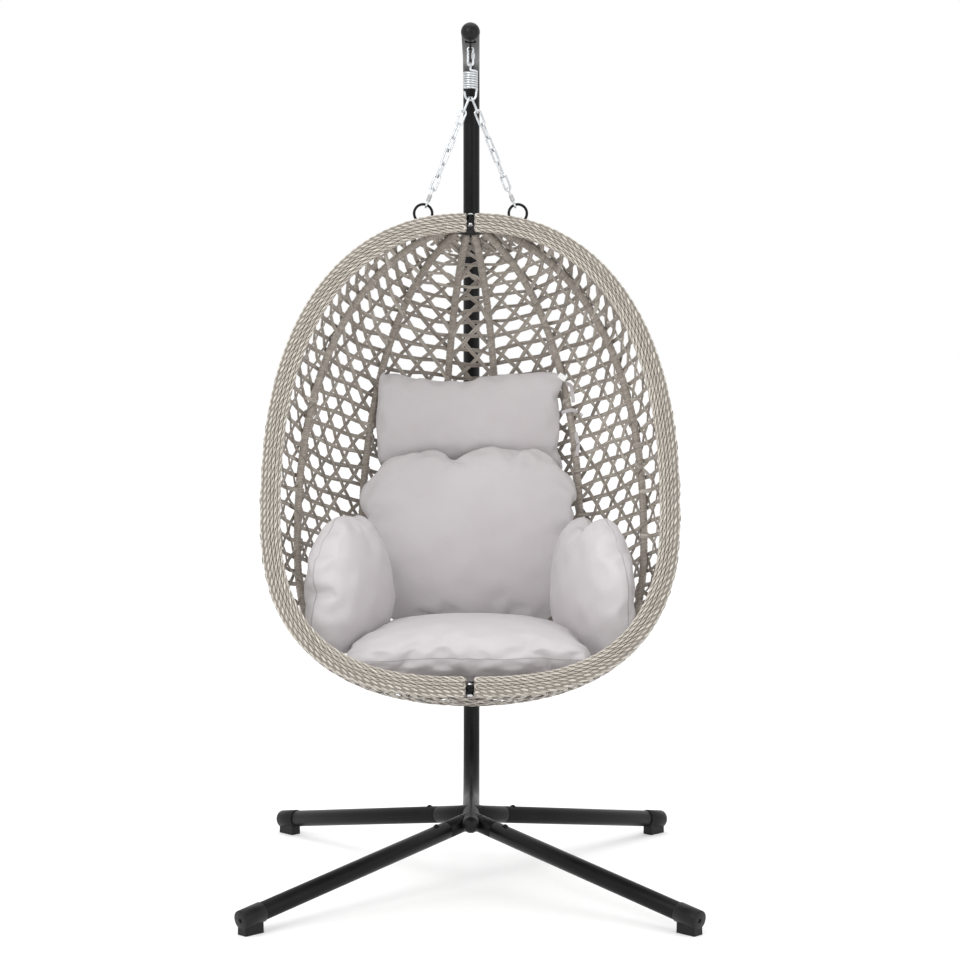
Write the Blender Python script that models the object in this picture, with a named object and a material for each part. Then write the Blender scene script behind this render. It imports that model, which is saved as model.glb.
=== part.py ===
"""Hanging egg chair: folding wicker basket on a C-shaped steel stand.

Units are metres and +Z is up. -Y is the basket's open front, and +X is to the right of somebody
who stands facing it; left and right in the names are as they see them. The origin lies on the
floor at the centre of the stand's footprint.
"""

from math import asin, cos, hypot, pi, radians, sin, sqrt

import bmesh
import bpy
from mathutils import Matrix, Vector

# ---------------------------------------------------------------- driving dimensions
GAP = 0.0003                 # running gap between pieces that touch

# stand
TUBE_R = 0.020               # 40 mm powder-coated tube
TUBE_BORE_R = 0.0183
SPIGOT_R = 0.0178            # swaged ends that plug into the next tube
SPIGOT_BORE_R = 0.0160
HUB_Y = -0.0197              # front legs cross the foot of the pole here
HUB_Z = 0.147
REAR_LEG_OFFSET = 0.067      # rear legs are welded this far behind the front ones
POLE_END_OFFSET = 0.052      # pole runs this far in front of the hub
POLE_BACK = 0.400            # upright stands this far behind the hub
POLE_FOOT_BEND = 0.200
POLE_HEAD_BEND = 0.150
POLE_JOINT_Z = 0.950
POLE_SPIGOT = 0.080
ARM_Z = 1.929
HANG_OFFSET = 0.167          # hanging point, in front of the hub
ARM_TIP_OFFSET = 0.182
SADDLE_HALF_LENGTH = 0.0085   # pad welded under the arm to carry the lug, along the arm
SADDLE_HALF_WIDTH = 0.012
SADDLE_HEIGHT = 0.007
SADDLE_SINK = 0.003          # how far the pad stands below the arm
HUB_CAP_PROFILE = [          # (distance along the pole, radius) of the plug and its dome
    (0.022, 0.0154), (-GAP, 0.0154), (-GAP, TUBE_R), (-0.004, 0.0196), (-0.009, 0.0179),
    (-0.014, 0.0143), (-0.018, 0.0087), (-0.020, 0.0030)]
ARM_CAP_R = 0.021
ARM_CAP_PROFILE = [
    (0.022, 0.0178), (-GAP, 0.0178), (-GAP, 0.0204), (-0.005, ARM_CAP_R), (-0.012, 0.0198),
    (-0.018, 0.0166), (-0.023, 0.0112), (-0.026, 0.0038)]
LEG_SLOPE = 0.167            # fall per metre of horizontal run
LEG_REACH = 0.685            # hub to outer end of the foot cap, measured on the floor
FRONT_STUB = 0.078
REAR_STUB = 0.108
LEG_SPIGOT = 0.060
FOOT_CAP_R = 0.022
FOOT_CAP_LENGTH = 0.058
FOOT_CAP_WALL = 0.003
FOOT_BLOCK_WIDTH = 0.028
FOOT_BLOCK_HEIGHT = 0.028
FOOT_BLOCK_INSET = (0.003, 0.053)   # outer and inner end of the block, in from the cap's end
CUT_OVERRUN = 0.010          # bores run this far past the faces they open
SCREW_R = 0.0021
SCREW_HOLE_R = 0.0026
SCREW_HEAD_R = 0.0050
SCREW_HEAD_H = 0.0030

# hanging gear
LUG_HOLE_R = 0.0048
LUG_PLATE = 0.003
LUG_HOLE_DROP = 0.0085       # lug hole centre below the arm's underside
LUG_END_R = 0.0095
LUG_HEIGHT = 0.013           # lug hole centre up to the plate's buried edge
LINK_WIRE_R = 0.0023
QUICK_WIRE_R = 0.0025
SPRING_WIRE_R = 0.0025
COIL_R = 0.014               # mean radius of the coil
COIL_TURNS = 8
COIL_OPEN_SHARE = 0.75       # the coil stops this much of a turn short of the count
COIL_PITCH = 0.0052
HOOK_LOOP_R = 0.0085
CHAIN_LINKS = 7
CHAIN_LINK_WIDTH = 0.0170
CHAIN_TWIST = radians(90 - 90 / CHAIN_LINKS)
TOP_LINK_LENGTH = 0.040      # between wire centres
TOP_LINK_WIDTH = 0.0165
END_LINK_LENGTH = 0.0455
END_LINK_WIDTH = 0.0185
J_HOOK_R = 0.0125
J_HOOK_Z = 1.783             # wire centre at the bottom of the spring's lower hook
RING_R = 0.020
RING_WIRE_R = 0.003
RING_X = 0.1045
RING_Z = 1.535

# basket frame, in basket coordinates: x sideways, u back from the rim plane, v up along it
BASKET_TILT = radians(18.50)  # the rim leans back until the basket's weight hangs under the rings
RIM_HALF_WIDTH = 0.448
RIM_RISE = 0.643             # from the widest level up to the rim's outer edge
RIM_DROP = 0.436
RIM_TOP_POWER = 2.3          # superellipse powers of the egg outline
RIM_BOTTOM_POWER = 2.7
RIM_TUBE_R = 0.009
RIM_TUBE_INSET = 0.012       # tube centre inside the rim's outer edge
BAND_WIDTH = 0.046
BAND_HALF_DEPTH = 0.012
BAND_HOLE_R = 0.0100
BAND_END_X = 0.009
TUBE_END_X = 0.0108
RIM_STEPS = 20
EYE_SLOT = [(-0.0034, -0.015), (0.0034, -0.015), (0.0034, 0.020), (-0.0034, 0.020)]
EYE_SLOT_DROP, EYE_SLOT_HEIGHT = 0.0125, 0.032
BASKET_DEPTH = 0.600         # rim plane to the deepest rib
RIB_ANGLES = (27, 54, 81)    # degrees round the basket from the rim, mirrored
RIB_R = 0.0085
RIB_END_R = 0.0045
RIB_STEPS = 18
PLATE_WIDTH = 0.050          # half width of the hinge plate that the ribs end on
PLATE_CLEARANCE = 0.0012
HUB_PLATE_THICKNESS = 0.008
WEAVE_THICKNESS = 0.003
WEAVE_CLEARANCE = 0.0015     # between the skin and the ribs it is laced to
WEAVE_EDGE_GAP = 0.0012      # between the skin's edge and the woven band
NOTCH = [(-0.030, -0.010), (0.018, -0.010), (0.018, 0.018), (-0.030, 0.018)]
NOTCH_DROP, NOTCH_HEIGHT = 0.020, 0.045   # the skin is cut away round each ring eye
EYE_R = 0.0085
EYE_WIRE_R = 0.0025
EYE_BACK = 0.017             # ring eyes behind the rim plane
EYE_RISE = 0.008
EYE_SLACK = 0.0016           # the ring bears on the eye's upper inside
LUG_HALF_WIDTH = 0.007
LUG_THICKNESS = 0.0057
LUG_REACH = 0.016            # the tongue runs this far into the tube
BOLT_R = 0.0036
BOLT_HEAD_R = 0.0065
BOLT_HEAD_TOP_R = 0.0055
BOLT_HEAD_HEIGHT = 0.0035

# cushions
CUSHION_EDGE_POWER = 2.6
CUSHION_SWELL_POWER = 0.75
CUSHION_EDGE_DRAW = 0.05     # the stuffing draws each edge in between the corners
CUSHION_COLUMNS, CUSHION_ROWS = 10, 8

X_AXIS, Y_AXIS, Z_AXIS = Vector((1, 0, 0)), Vector((0, 1, 0)), Vector((0, 0, 1))


# ---------------------------------------------------------------- materials
def material(name, colour, roughness, metallic):
    made = bpy.data.materials.new(name)
    made.use_nodes = True
    shader = made.node_tree.nodes["Principled BSDF"]
    shader.inputs["Base Color"].default_value = (*colour, 1.0)
    shader.inputs["Roughness"].default_value = roughness
    shader.inputs["Metallic"].default_value = metallic
    made.diffuse_color = (*colour, 1.0)
    return made


def black_coat(name):
    return material(name, (0.018, 0.018, 0.019), 0.45, 0.3)


def black_plastic(name):
    return material(name, (0.022, 0.022, 0.023), 0.6, 0.0)


def zinc(name):
    return material(name, (0.62, 0.64, 0.66), 0.32, 1.0)


def wicker(name):
    return material(name, (0.42, 0.38, 0.34), 0.6, 0.0)


def cushion_cloth(name):
    return material(name, (0.62, 0.58, 0.59), 0.9, 0.0)


# ---------------------------------------------------------------- mesh helpers
def place(name, mesh_builder, finish, parent=None, helper=False):
    """Turn a bmesh in world coordinates into an object whose origin sits on its parent."""
    bmesh.ops.recalc_face_normals(mesh_builder, faces=mesh_builder.faces)
    if mesh_builder.calc_volume(signed=True) < 0:
        bmesh.ops.reverse_faces(mesh_builder, faces=mesh_builder.faces)
    mesh = bpy.data.meshes.new(name)
    if parent is not None:
        mesh_builder.transform(parent.matrix_world.inverted())
    mesh_builder.to_mesh(mesh)
    mesh_builder.free()
    mesh.shade_smooth()
    mesh.set_sharp_from_angle(angle=radians(40))
    obj = bpy.data.objects.new(name, mesh)
    bpy.context.scene.collection.objects.link(obj)
    obj.parent = parent
    if helper:
        obj.hide_render = True
        obj.display_type = "WIRE"
    else:
        mesh.materials.append(finish(name))
    return obj


def combine(obj, other, operation):
    cut = obj.modifiers.new(operation.lower() + "_" + other.name, "BOOLEAN")
    cut.object = other
    cut.operation = operation
    cut.solver = "EXACT"


def loft(rings, closed=False):
    """Skin equal rings of points; the ends are capped unless the loft closes on itself."""
    built = bmesh.new()
    loops = [[built.verts.new(p) for p in ring] for ring in rings]
    pairs = list(zip(loops, loops[1:]))
    if closed:
        pairs.append((loops[-1], loops[0]))
    for one, two in pairs:
        count = len(one)
        for k in range(count):
            n = (k + 1) % count
            built.faces.new((one[k], one[n], two[n], two[k]))
    if not closed:
        built.faces.new(loops[0])
        built.faces.new(list(reversed(loops[-1])))
    return built


def circle(radius, sides):
    return [(radius * cos(2 * pi * (k + 0.5) / sides), radius * sin(2 * pi * (k + 0.5) / sides))
            for k in range(sides)]


def frames(path, side, closed=False):
    """Tangent-following frames; side is kept as close as possible to the given direction."""
    out = []
    count = len(path)
    for k in range(count):
        before = path[(k - 1) % count] if closed or k > 0 else path[k]
        after = path[(k + 1) % count] if closed or k < count - 1 else path[k]
        tangent = (after - before).normalized()
        binormal = (side - tangent * side.dot(tangent)).normalized()
        out.append((path[k], binormal.cross(tangent), binormal))
    return out


def sweep(path, radius, sides, side, closed=False):
    """A round rod along a path; radius is one value or one value for each point."""
    radii = radius if isinstance(radius, (list, tuple)) else [radius] * len(path)
    rings = []
    for (point, normal, binormal), r in zip(frames(path, side, closed), radii):
        rings.append([point + normal * a + binormal * b for a, b in circle(r, sides)])
    return loft(rings, closed)


def hollow_sweep(path, outer, inner, side):
    """A tube open at both ends: outer and inner are equal lists of section points."""
    built = bmesh.new()
    skins = []
    for section in (outer, inner):
        rings = []
        for point, normal, binormal in frames(path, side):
            ring = [built.verts.new(point + normal * a + binormal * b) for a, b in section]
            rings.append(ring)
        skins.append(rings)
        for one, two in zip(rings, rings[1:]):
            for k in range(len(one)):
                n = (k + 1) % len(one)
                built.faces.new((one[k], one[n], two[n], two[k]))
    for end in (0, -1):
        wide, narrow = skins[0][end], skins[1][end]
        for k in range(len(wide)):
            n = (k + 1) % len(wide)
            built.faces.new((wide[k], wide[n], narrow[n], narrow[k]))
    return built


def rod(start, end, radius, sides):
    axis = (end - start).normalized()
    side = X_AXIS if abs(axis.x) < 0.9 else Z_AXIS
    return sweep([start, end], radius, sides, side)


def turned(profile, origin, axis, sides):
    """A turned piece: profile is (distance along the axis, radius), closed on the axis."""
    side = X_AXIS if abs(axis.x) < 0.9 else Z_AXIS
    binormal = (side - axis * side.dot(axis)).normalized()
    normal = binormal.cross(axis)
    rings = []
    for along, radius in profile:
        centre = origin + axis * along
        rings.append([centre + normal * a + binormal * b for a, b in circle(radius, sides)])
    return loft(rings)


def prism(outline, height_axis, height, origin, across, along):
    """An outline of (across, along) points raised from origin along height_axis."""
    rings = []
    for level in (0.0, height):
        rings.append([origin + across * a + along * b + height_axis * level for a, b in outline])
    return loft(rings)


def arc(centre, radius, start, end, steps, first, second):
    """Points of an arc in the plane of two unit vectors, angles in radians."""
    points = []
    for k in range(steps + 1):
        angle = start + (end - start) * k / steps
        points.append(centre + first * (radius * cos(angle)) + second * (radius * sin(angle)))
    return points


def empty(name, location, rotation=0.0):
    made = bpy.data.objects.new(name, None)
    bpy.context.scene.collection.objects.link(made)
    made.location = location
    made.rotation_euler = (rotation, 0.0, 0.0)
    bpy.context.view_layer.update()
    return made


# ---------------------------------------------------------------- stand
def leg_axis(side, front):
    """Start of a leg on the pole's foot and its unit direction on a slope."""
    start = Vector((0.0, HUB_Y if front else HUB_Y + REAR_LEG_OFFSET, HUB_Z))
    run = Vector((side * sqrt(0.5), -sqrt(0.5) if front else sqrt(0.5), 0.0))
    return start, run


def on_leg(side, front, run_length):
    start, run = leg_axis(side, front)
    return start + run * run_length - Z_AXIS * (LEG_SLOPE * run_length)


def leg_direction(side, front):
    return (on_leg(side, front, 1.0) - on_leg(side, front, 0.0)).normalized()


def leg_name(side, front):
    return ("front" if front else "rear") + ("_left" if side < 0 else "_right")


LEG_SIDES = [(-1, True), (1, True), (-1, False), (1, False)]


def screw_axis(side, front):
    """A leg screw enters from above, just outside the seam."""
    seam = FRONT_STUB if front else REAR_STUB
    point = on_leg(side, front, seam + 0.5 * LEG_SPIGOT)
    direction = leg_direction(side, front)
    up = (Z_AXIS - direction * Z_AXIS.dot(direction)).normalized()
    return point, up


def button_screw(name, point, outward, parent):
    """Pan-head screw: the head stands on a 40 mm tube and the shank ends inside the spigot."""
    base = TUBE_R + GAP
    tip = SPIGOT_BORE_R - 0.002
    profile = [
        (tip, SCREW_R), (base, SCREW_R), (base, SCREW_HEAD_R),
        (base + 0.6 * SCREW_HEAD_H, SCREW_HEAD_R), (base + SCREW_HEAD_H, 0.6 * SCREW_HEAD_R),
    ]
    return place(name, turned(profile, point, outward, 8), black_coat, parent)


def screw_hole(name, point, outward, parent):
    start = point + outward * 0.008
    return place(name, rod(start, point + outward * 0.030, SCREW_HOLE_R, 8), black_coat,
                 parent, helper=True)


def pole_foot_path(front_end, top):
    back_y = HUB_Y + POLE_BACK
    centre = Vector((0.0, back_y - POLE_FOOT_BEND, HUB_Z + POLE_FOOT_BEND))
    bend = arc(centre, POLE_FOOT_BEND, -pi / 2, 0.0, 8, Y_AXIS, Z_AXIS)
    return [Vector((0.0, front_end, HUB_Z))] + bend + [Vector((0.0, back_y, top))]


def pole_head_path(bottom, tip):
    back_y = HUB_Y + POLE_BACK
    centre = Vector((0.0, back_y - POLE_HEAD_BEND, ARM_Z - POLE_HEAD_BEND))
    bend = arc(centre, POLE_HEAD_BEND, 0.0, pi / 2, 8, Y_AXIS, Z_AXIS)
    return [Vector((0.0, back_y, bottom))] + bend + [Vector((0.0, tip, ARM_Z))]


def build_stand(stand):
    back_y = HUB_Y + POLE_BACK
    pole_end = HUB_Y - POLE_END_OFFSET

    lower = place("pole_lower",
                  sweep(pole_foot_path(pole_end, POLE_JOINT_Z), TUBE_R, 14, X_AXIS),
                  black_coat, stand)
    joints = [rod(Vector((0, back_y, POLE_JOINT_Z - CUT_OVERRUN)),
                  Vector((0, back_y, POLE_JOINT_Z + POLE_SPIGOT)), SPIGOT_R, 14)]
    bores = [sweep(pole_foot_path(pole_end - CUT_OVERRUN, POLE_JOINT_Z + POLE_SPIGOT + CUT_OVERRUN),
                   SPIGOT_BORE_R, 14, X_AXIS)]
    for side, front in LEG_SIDES:
        seam = FRONT_STUB if front else REAR_STUB
        root = on_leg(side, front, 0.0)
        joints.append(rod(root, on_leg(side, front, seam), TUBE_R - 0.00005, 14))
        joints.append(rod(root, on_leg(side, front, seam + LEG_SPIGOT), SPIGOT_R, 14))
        bores.append(rod(root, on_leg(side, front, seam + LEG_SPIGOT + CUT_OVERRUN), SPIGOT_BORE_R, 14))
    for k, shape in enumerate(joints):
        combine(lower, place(f"pole_joint_{k}", shape, None, stand, helper=True), "UNION")
    for k, shape in enumerate(bores):
        combine(lower, place(f"pole_bore_{k}", shape, None, stand, helper=True), "DIFFERENCE")

    place("hub_cap", turned(HUB_CAP_PROFILE, Vector((0, pole_end, HUB_Z)), Y_AXIS, 14),
          black_plastic, stand)

    tip_y = HUB_Y - ARM_TIP_OFFSET
    upper = place("pole_upper",
                  sweep(pole_head_path(POLE_JOINT_Z + GAP, tip_y), TUBE_R, 14, X_AXIS),
                  black_coat, stand)
    lug_y = HUB_Y - HANG_OFFSET
    underside = ARM_Z - TUBE_R
    half, wide = SADDLE_HALF_LENGTH, SADDLE_HALF_WIDTH
    saddle = [(-half, -wide), (half, -wide), (half, wide), (-half, wide)]
    combine(upper, place("arm_saddle", prism(saddle, Z_AXIS, SADDLE_HEIGHT,
                         Vector((0, lug_y, underside - SADDLE_SINK)), X_AXIS, Y_AXIS),
                         None, stand, helper=True), "UNION")
    plate = arc(Vector((0, 0, 0)), LUG_END_R, -pi, 0.0, 8, X_AXIS, Y_AXIS)
    outline = [(p.x, p.y) for p in plate] + [(LUG_END_R, LUG_HEIGHT), (-LUG_END_R, LUG_HEIGHT)]
    combine(upper, place("arm_lug", prism(outline, X_AXIS, LUG_PLATE,
                         Vector((-0.5 * LUG_PLATE, lug_y, underside - LUG_HOLE_DROP)), Y_AXIS, Z_AXIS),
                         None, stand, helper=True), "UNION")
    lug_hole = Vector((0, lug_y, underside - LUG_HOLE_DROP))
    hole = rod(lug_hole - X_AXIS * CUT_OVERRUN, lug_hole + X_AXIS * CUT_OVERRUN, LUG_HOLE_R, 12)
    combine(upper, place("arm_lug_hole", hole, None, stand, helper=True), "DIFFERENCE")
    bore = sweep(pole_head_path(POLE_JOINT_Z - CUT_OVERRUN, tip_y - CUT_OVERRUN),
                 TUBE_BORE_R, 14, X_AXIS)
    combine(upper, place("arm_bore", bore, None, stand, helper=True), "DIFFERENCE")

    place("arm_cap", turned(ARM_CAP_PROFILE, Vector((0, tip_y, ARM_Z)), Y_AXIS, 14),
          black_plastic, stand)

    bolt_point = Vector((0, back_y, POLE_JOINT_Z + 0.5 * POLE_SPIGOT))
    for tube in (lower, upper):
        combine(tube, screw_hole("bolt_hole_" + tube.name, bolt_point, Y_AXIS, stand), "DIFFERENCE")
    button_screw("pole_bolt", bolt_point, Y_AXIS, stand)

    for side, front in LEG_SIDES:
        build_leg(side, front, stand, lower)


def build_leg(side, front, stand, lower):
    name = leg_name(side, front)
    seam = FRONT_STUB if front else REAR_STUB
    slope_length = hypot(1.0, LEG_SLOPE)
    cap_run = FOOT_CAP_LENGTH / slope_length
    leg_end = LEG_REACH - (FOOT_CAP_WALL + GAP) / slope_length
    section = [circle(r, 14) for r in (TUBE_R, TUBE_BORE_R)]
    path = [on_leg(side, front, seam + GAP), on_leg(side, front, leg_end)]
    leg = place("leg_" + name, hollow_sweep(path, section[0], section[1], Z_AXIS), black_coat, stand)

    point, up = screw_axis(side, front)
    for k, tube in enumerate((leg, lower)):
        combine(tube, screw_hole(f"screw_hole_{name}_{k}", point, up, stand), "DIFFERENCE")
    button_screw("leg_screw_" + name, point, up, stand)

    cap = place("foot_cap_" + name, rod(on_leg(side, front, LEG_REACH - cap_run),
                on_leg(side, front, LEG_REACH), FOOT_CAP_R, 14), black_plastic, stand)
    run = leg_axis(side, front)[1]
    across = Z_AXIS.cross(run)
    half = 0.5 * FOOT_BLOCK_WIDTH
    outer = LEG_REACH - FOOT_BLOCK_INSET[0]
    inner = LEG_REACH - FOOT_BLOCK_INSET[1]
    block = [(-half, inner), (half, inner), (half, outer), (-half, outer)]
    foot = Vector((0.0, leg_axis(side, front)[0].y, 0.0))
    combine(cap, place("foot_block_" + name, prism(block, Z_AXIS, FOOT_BLOCK_HEIGHT, foot, across, run),
                       None, stand, helper=True), "UNION")
    bore = rod(on_leg(side, front, LEG_REACH - cap_run - CUT_OVERRUN),
               on_leg(side, front, LEG_REACH - FOOT_CAP_WALL / slope_length), TUBE_R + GAP, 14)
    combine(cap, place("foot_bore_" + name, bore, None, stand, helper=True), "DIFFERENCE")


# ---------------------------------------------------------------- hanging gear
HANG_Y = HUB_Y - HANG_OFFSET
LUG_Z = ARM_Z - TUBE_R - LUG_HOLE_DROP
TOP_LINK_Z = LUG_Z - (LUG_HOLE_R - QUICK_WIRE_R) + 0.0008   # upper wire rests in the lug hole
HOOK_Z = TOP_LINK_Z - TOP_LINK_LENGTH + QUICK_WIRE_R + SPRING_WIRE_R + GAP
COIL_TOP_Z = HOOK_Z - HOOK_LOOP_R - 0.0075
COIL_BOTTOM_Z = COIL_TOP_Z - COIL_TURNS * COIL_PITCH


def link_ring(centre, along, across, length, width, wire_r, steps=6, sides=5):
    """A stadium-shaped link; length is between wire centres, width is outside."""
    bend_r = 0.5 * width - wire_r
    straight = 0.5 * length - bend_r
    path = arc(centre + along * straight, bend_r, 0.0, pi, steps, across, along)
    path += arc(centre - along * straight, bend_r, pi, 2 * pi, steps, across, along)
    return sweep(path, wire_r, sides, across.cross(along), closed=True)


def chain_line(side):
    """Where a chain leaves the lower hook, and its direction down to the ring."""
    hook_centre = Vector((0, HANG_Y, J_HOOK_Z + J_HOOK_R))
    span = Vector((side * RING_X, HANG_Y, RING_Z)) - hook_centre
    direction = span.normalized()
    return hook_centre + direction * J_HOOK_R, direction, span.length - J_HOOK_R


def ring_foot(side):
    """Wire centre at the lowest point of a ring, in line with its chain."""
    direction = chain_line(side)[1]
    return Vector((side * RING_X, HANG_Y, RING_Z)) + direction * RING_R


def build_spring(parents):
    link_centre = Vector((0, HANG_Y, TOP_LINK_Z - 0.5 * TOP_LINK_LENGTH))
    place("quick_link_top", link_ring(link_centre, Z_AXIS, X_AXIS, TOP_LINK_LENGTH,
          TOP_LINK_WIDTH, QUICK_WIRE_R, 6, 6), zinc, parents["link"])

    top = Vector((0, HANG_Y, HOOK_Z - HOOK_LOOP_R))
    hook = [Vector((0, HANG_Y - COIL_R, COIL_TOP_Z + GAP)),
            Vector((0, HANG_Y - 0.0115, COIL_TOP_Z + 0.0045))]
    hook += arc(top, HOOK_LOOP_R, pi, -0.35 * pi, 11, Y_AXIS, Z_AXIS)
    place("spring_hook_top", sweep(hook, SPRING_WIRE_R, 6, X_AXIS), zinc, parents["spring_top"])

    steps = 9 * COIL_TURNS
    coil = []
    for k in range(steps + 1):
        turn = 2 * pi * (k / steps * (COIL_TURNS - COIL_OPEN_SHARE) - 0.25)
        drop = k / steps * (COIL_TURNS * COIL_PITCH - 2 * SPRING_WIRE_R)
        height = COIL_TOP_Z - SPRING_WIRE_R - drop
        coil.append(Vector((COIL_R * cos(turn), HANG_Y + COIL_R * sin(turn), height)))
    place("spring_coil", sweep(coil, SPRING_WIRE_R, 5, Z_AXIS), zinc, parents["spring_top"])

    bottom = Vector((0, HANG_Y, J_HOOK_Z + J_HOOK_R))
    hook = [Vector((COIL_R, HANG_Y, COIL_BOTTOM_Z - GAP))]
    hook += arc(bottom, J_HOOK_R, 0.0, -pi, 10, X_AXIS, Z_AXIS)
    hook.append(Vector((-J_HOOK_R - 0.001, HANG_Y, J_HOOK_Z + J_HOOK_R + 0.007)))
    place("spring_hook_bottom", sweep(hook, SPRING_WIRE_R, 6, Y_AXIS), zinc,
          parents["spring_bottom"])


def build_chains(parent):
    wire = 2 * LINK_WIRE_R + GAP
    hook_grip = SPRING_WIRE_R + LINK_WIRE_R + GAP
    end_grip = QUICK_WIRE_R + LINK_WIRE_R + GAP
    ring_grip = RING_WIRE_R + QUICK_WIRE_R + GAP
    for side, word in ((-1, "left"), (1, "right")):
        start, along, span = chain_line(side)
        reach = span - RING_R + hook_grip + end_grip + ring_grip - END_LINK_LENGTH
        length = (reach + (CHAIN_LINKS - 1) * wire) / CHAIN_LINKS
        top = -hook_grip
        flat = along.cross(Y_AXIS)
        for k in range(CHAIN_LINKS):
            centre = start + along * (top + 0.5 * length)
            across = Matrix.Rotation(k * CHAIN_TWIST, 3, along) @ Y_AXIS
            place(f"chain_{word}_{k + 1}", link_ring(centre, along, across, length,
                  CHAIN_LINK_WIDTH, LINK_WIRE_R), zinc, parent)
            top += length - wire
        top += wire - end_grip
        centre = start + along * (top + 0.5 * END_LINK_LENGTH)
        place("end_link_" + word, link_ring(centre, along, Y_AXIS, END_LINK_LENGTH,
              END_LINK_WIDTH, QUICK_WIRE_R, 6, 6), zinc, parent)
        ring = arc(Vector((side * RING_X, HANG_Y, RING_Z)), RING_R, 0.0, 2 * pi * 15 / 16, 15,
                   flat, along)
        place("ring_" + word, sweep(ring, RING_WIRE_R, 6, Y_AXIS, closed=True), black_coat, parent)


# ---------------------------------------------------------------- basket
PIVOT = ring_foot(1)
PIVOT.x = 0.0
ACROSS = X_AXIS
BACK = Vector((0, cos(BASKET_TILT), -sin(BASKET_TILT)))
UP = Vector((0, sin(BASKET_TILT), cos(BASKET_TILT)))
EYE_X = ring_foot(1).x


def egg_point(half_width, rise, drop, angle):
    """(x, v) on the egg outline: angle runs from 0 at the top to pi at the bottom."""
    above = angle <= pi / 2
    power = RIM_TOP_POWER if above else RIM_BOTTOM_POWER
    level = abs(cos(angle)) ** (2 / power) * (rise if above else -drop)
    return half_width * abs(sin(angle)) ** (2 / power), level


def superellipse(half_width, rise, drop, steps, start, end):
    """(x, v) points down the egg outline; v is 0 at the widest level."""
    angles = [start + (end - start) * k / steps for k in range(steps + 1)]
    return [egg_point(half_width, rise, drop, angle) for angle in angles]


def egg_level(x, half_width, rise):
    return rise * (1 - (x / half_width) ** RIM_TOP_POWER) ** (1 / RIM_TOP_POWER)


TUBE_HALF_WIDTH = RIM_HALF_WIDTH - RIM_TUBE_INSET
TUBE_RISE = RIM_RISE - RIM_TUBE_INSET
TUBE_DROP = RIM_DROP - RIM_TUBE_INSET
EYE_CENTRE_V = egg_level(EYE_X, TUBE_HALF_WIDTH, TUBE_RISE) + EYE_RISE
WIDEST_V = -(EYE_CENTRE_V + EYE_SLACK)       # v of the widest level, measured from the ring line


def basket_point(x, u, v):
    """World point from basket coordinates; v counts from the widest level."""
    return PIVOT + ACROSS * x + BACK * (u - EYE_BACK) + UP * (v + WIDEST_V)


def rim_path(side):
    """Centre line of half the rim between the ends of its woven band."""
    start = asin((BAND_END_X / TUBE_HALF_WIDTH) ** (RIM_TOP_POWER / 2))
    end = pi - asin((BAND_END_X / TUBE_HALF_WIDTH) ** (RIM_BOTTOM_POWER / 2))
    outline = superellipse(TUBE_HALF_WIDTH, TUBE_RISE, TUBE_DROP, RIM_STEPS, start, end)
    return [basket_point(side * x, 0.0, v) for x, v in outline]


def rim_tube_path(side):
    """The tube follows the band's centre line and stops just inside each band end."""
    path = rim_path(side)
    for end, following in ((0, 1), (-1, -2)):
        share = (TUBE_END_X - BAND_END_X) / abs(path[following].x - path[end].x)
        path[end] = path[end].lerp(path[following], share)
    return path


def hinge_lug(side, v_low):
    """Flat tongue from a tube end to the hinge bolt, with a round end."""
    outline = [(side * LUG_REACH, -LUG_HALF_WIDTH), (side * LUG_REACH, LUG_HALF_WIDTH)]
    for k in range(7):
        angle = pi / 2 + pi * k / 6
        outline.append((side * -LUG_HALF_WIDTH * cos(angle + pi), LUG_HALF_WIDTH * sin(angle)))
    return prism(outline, UP, LUG_THICKNESS, basket_point(0, 0, v_low), ACROSS, BACK)


def hinge_levels(top):
    """v of the tube ends' centre and the direction into the basket."""
    return (TUBE_RISE, -1) if top else (-TUBE_DROP, 1)


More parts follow.
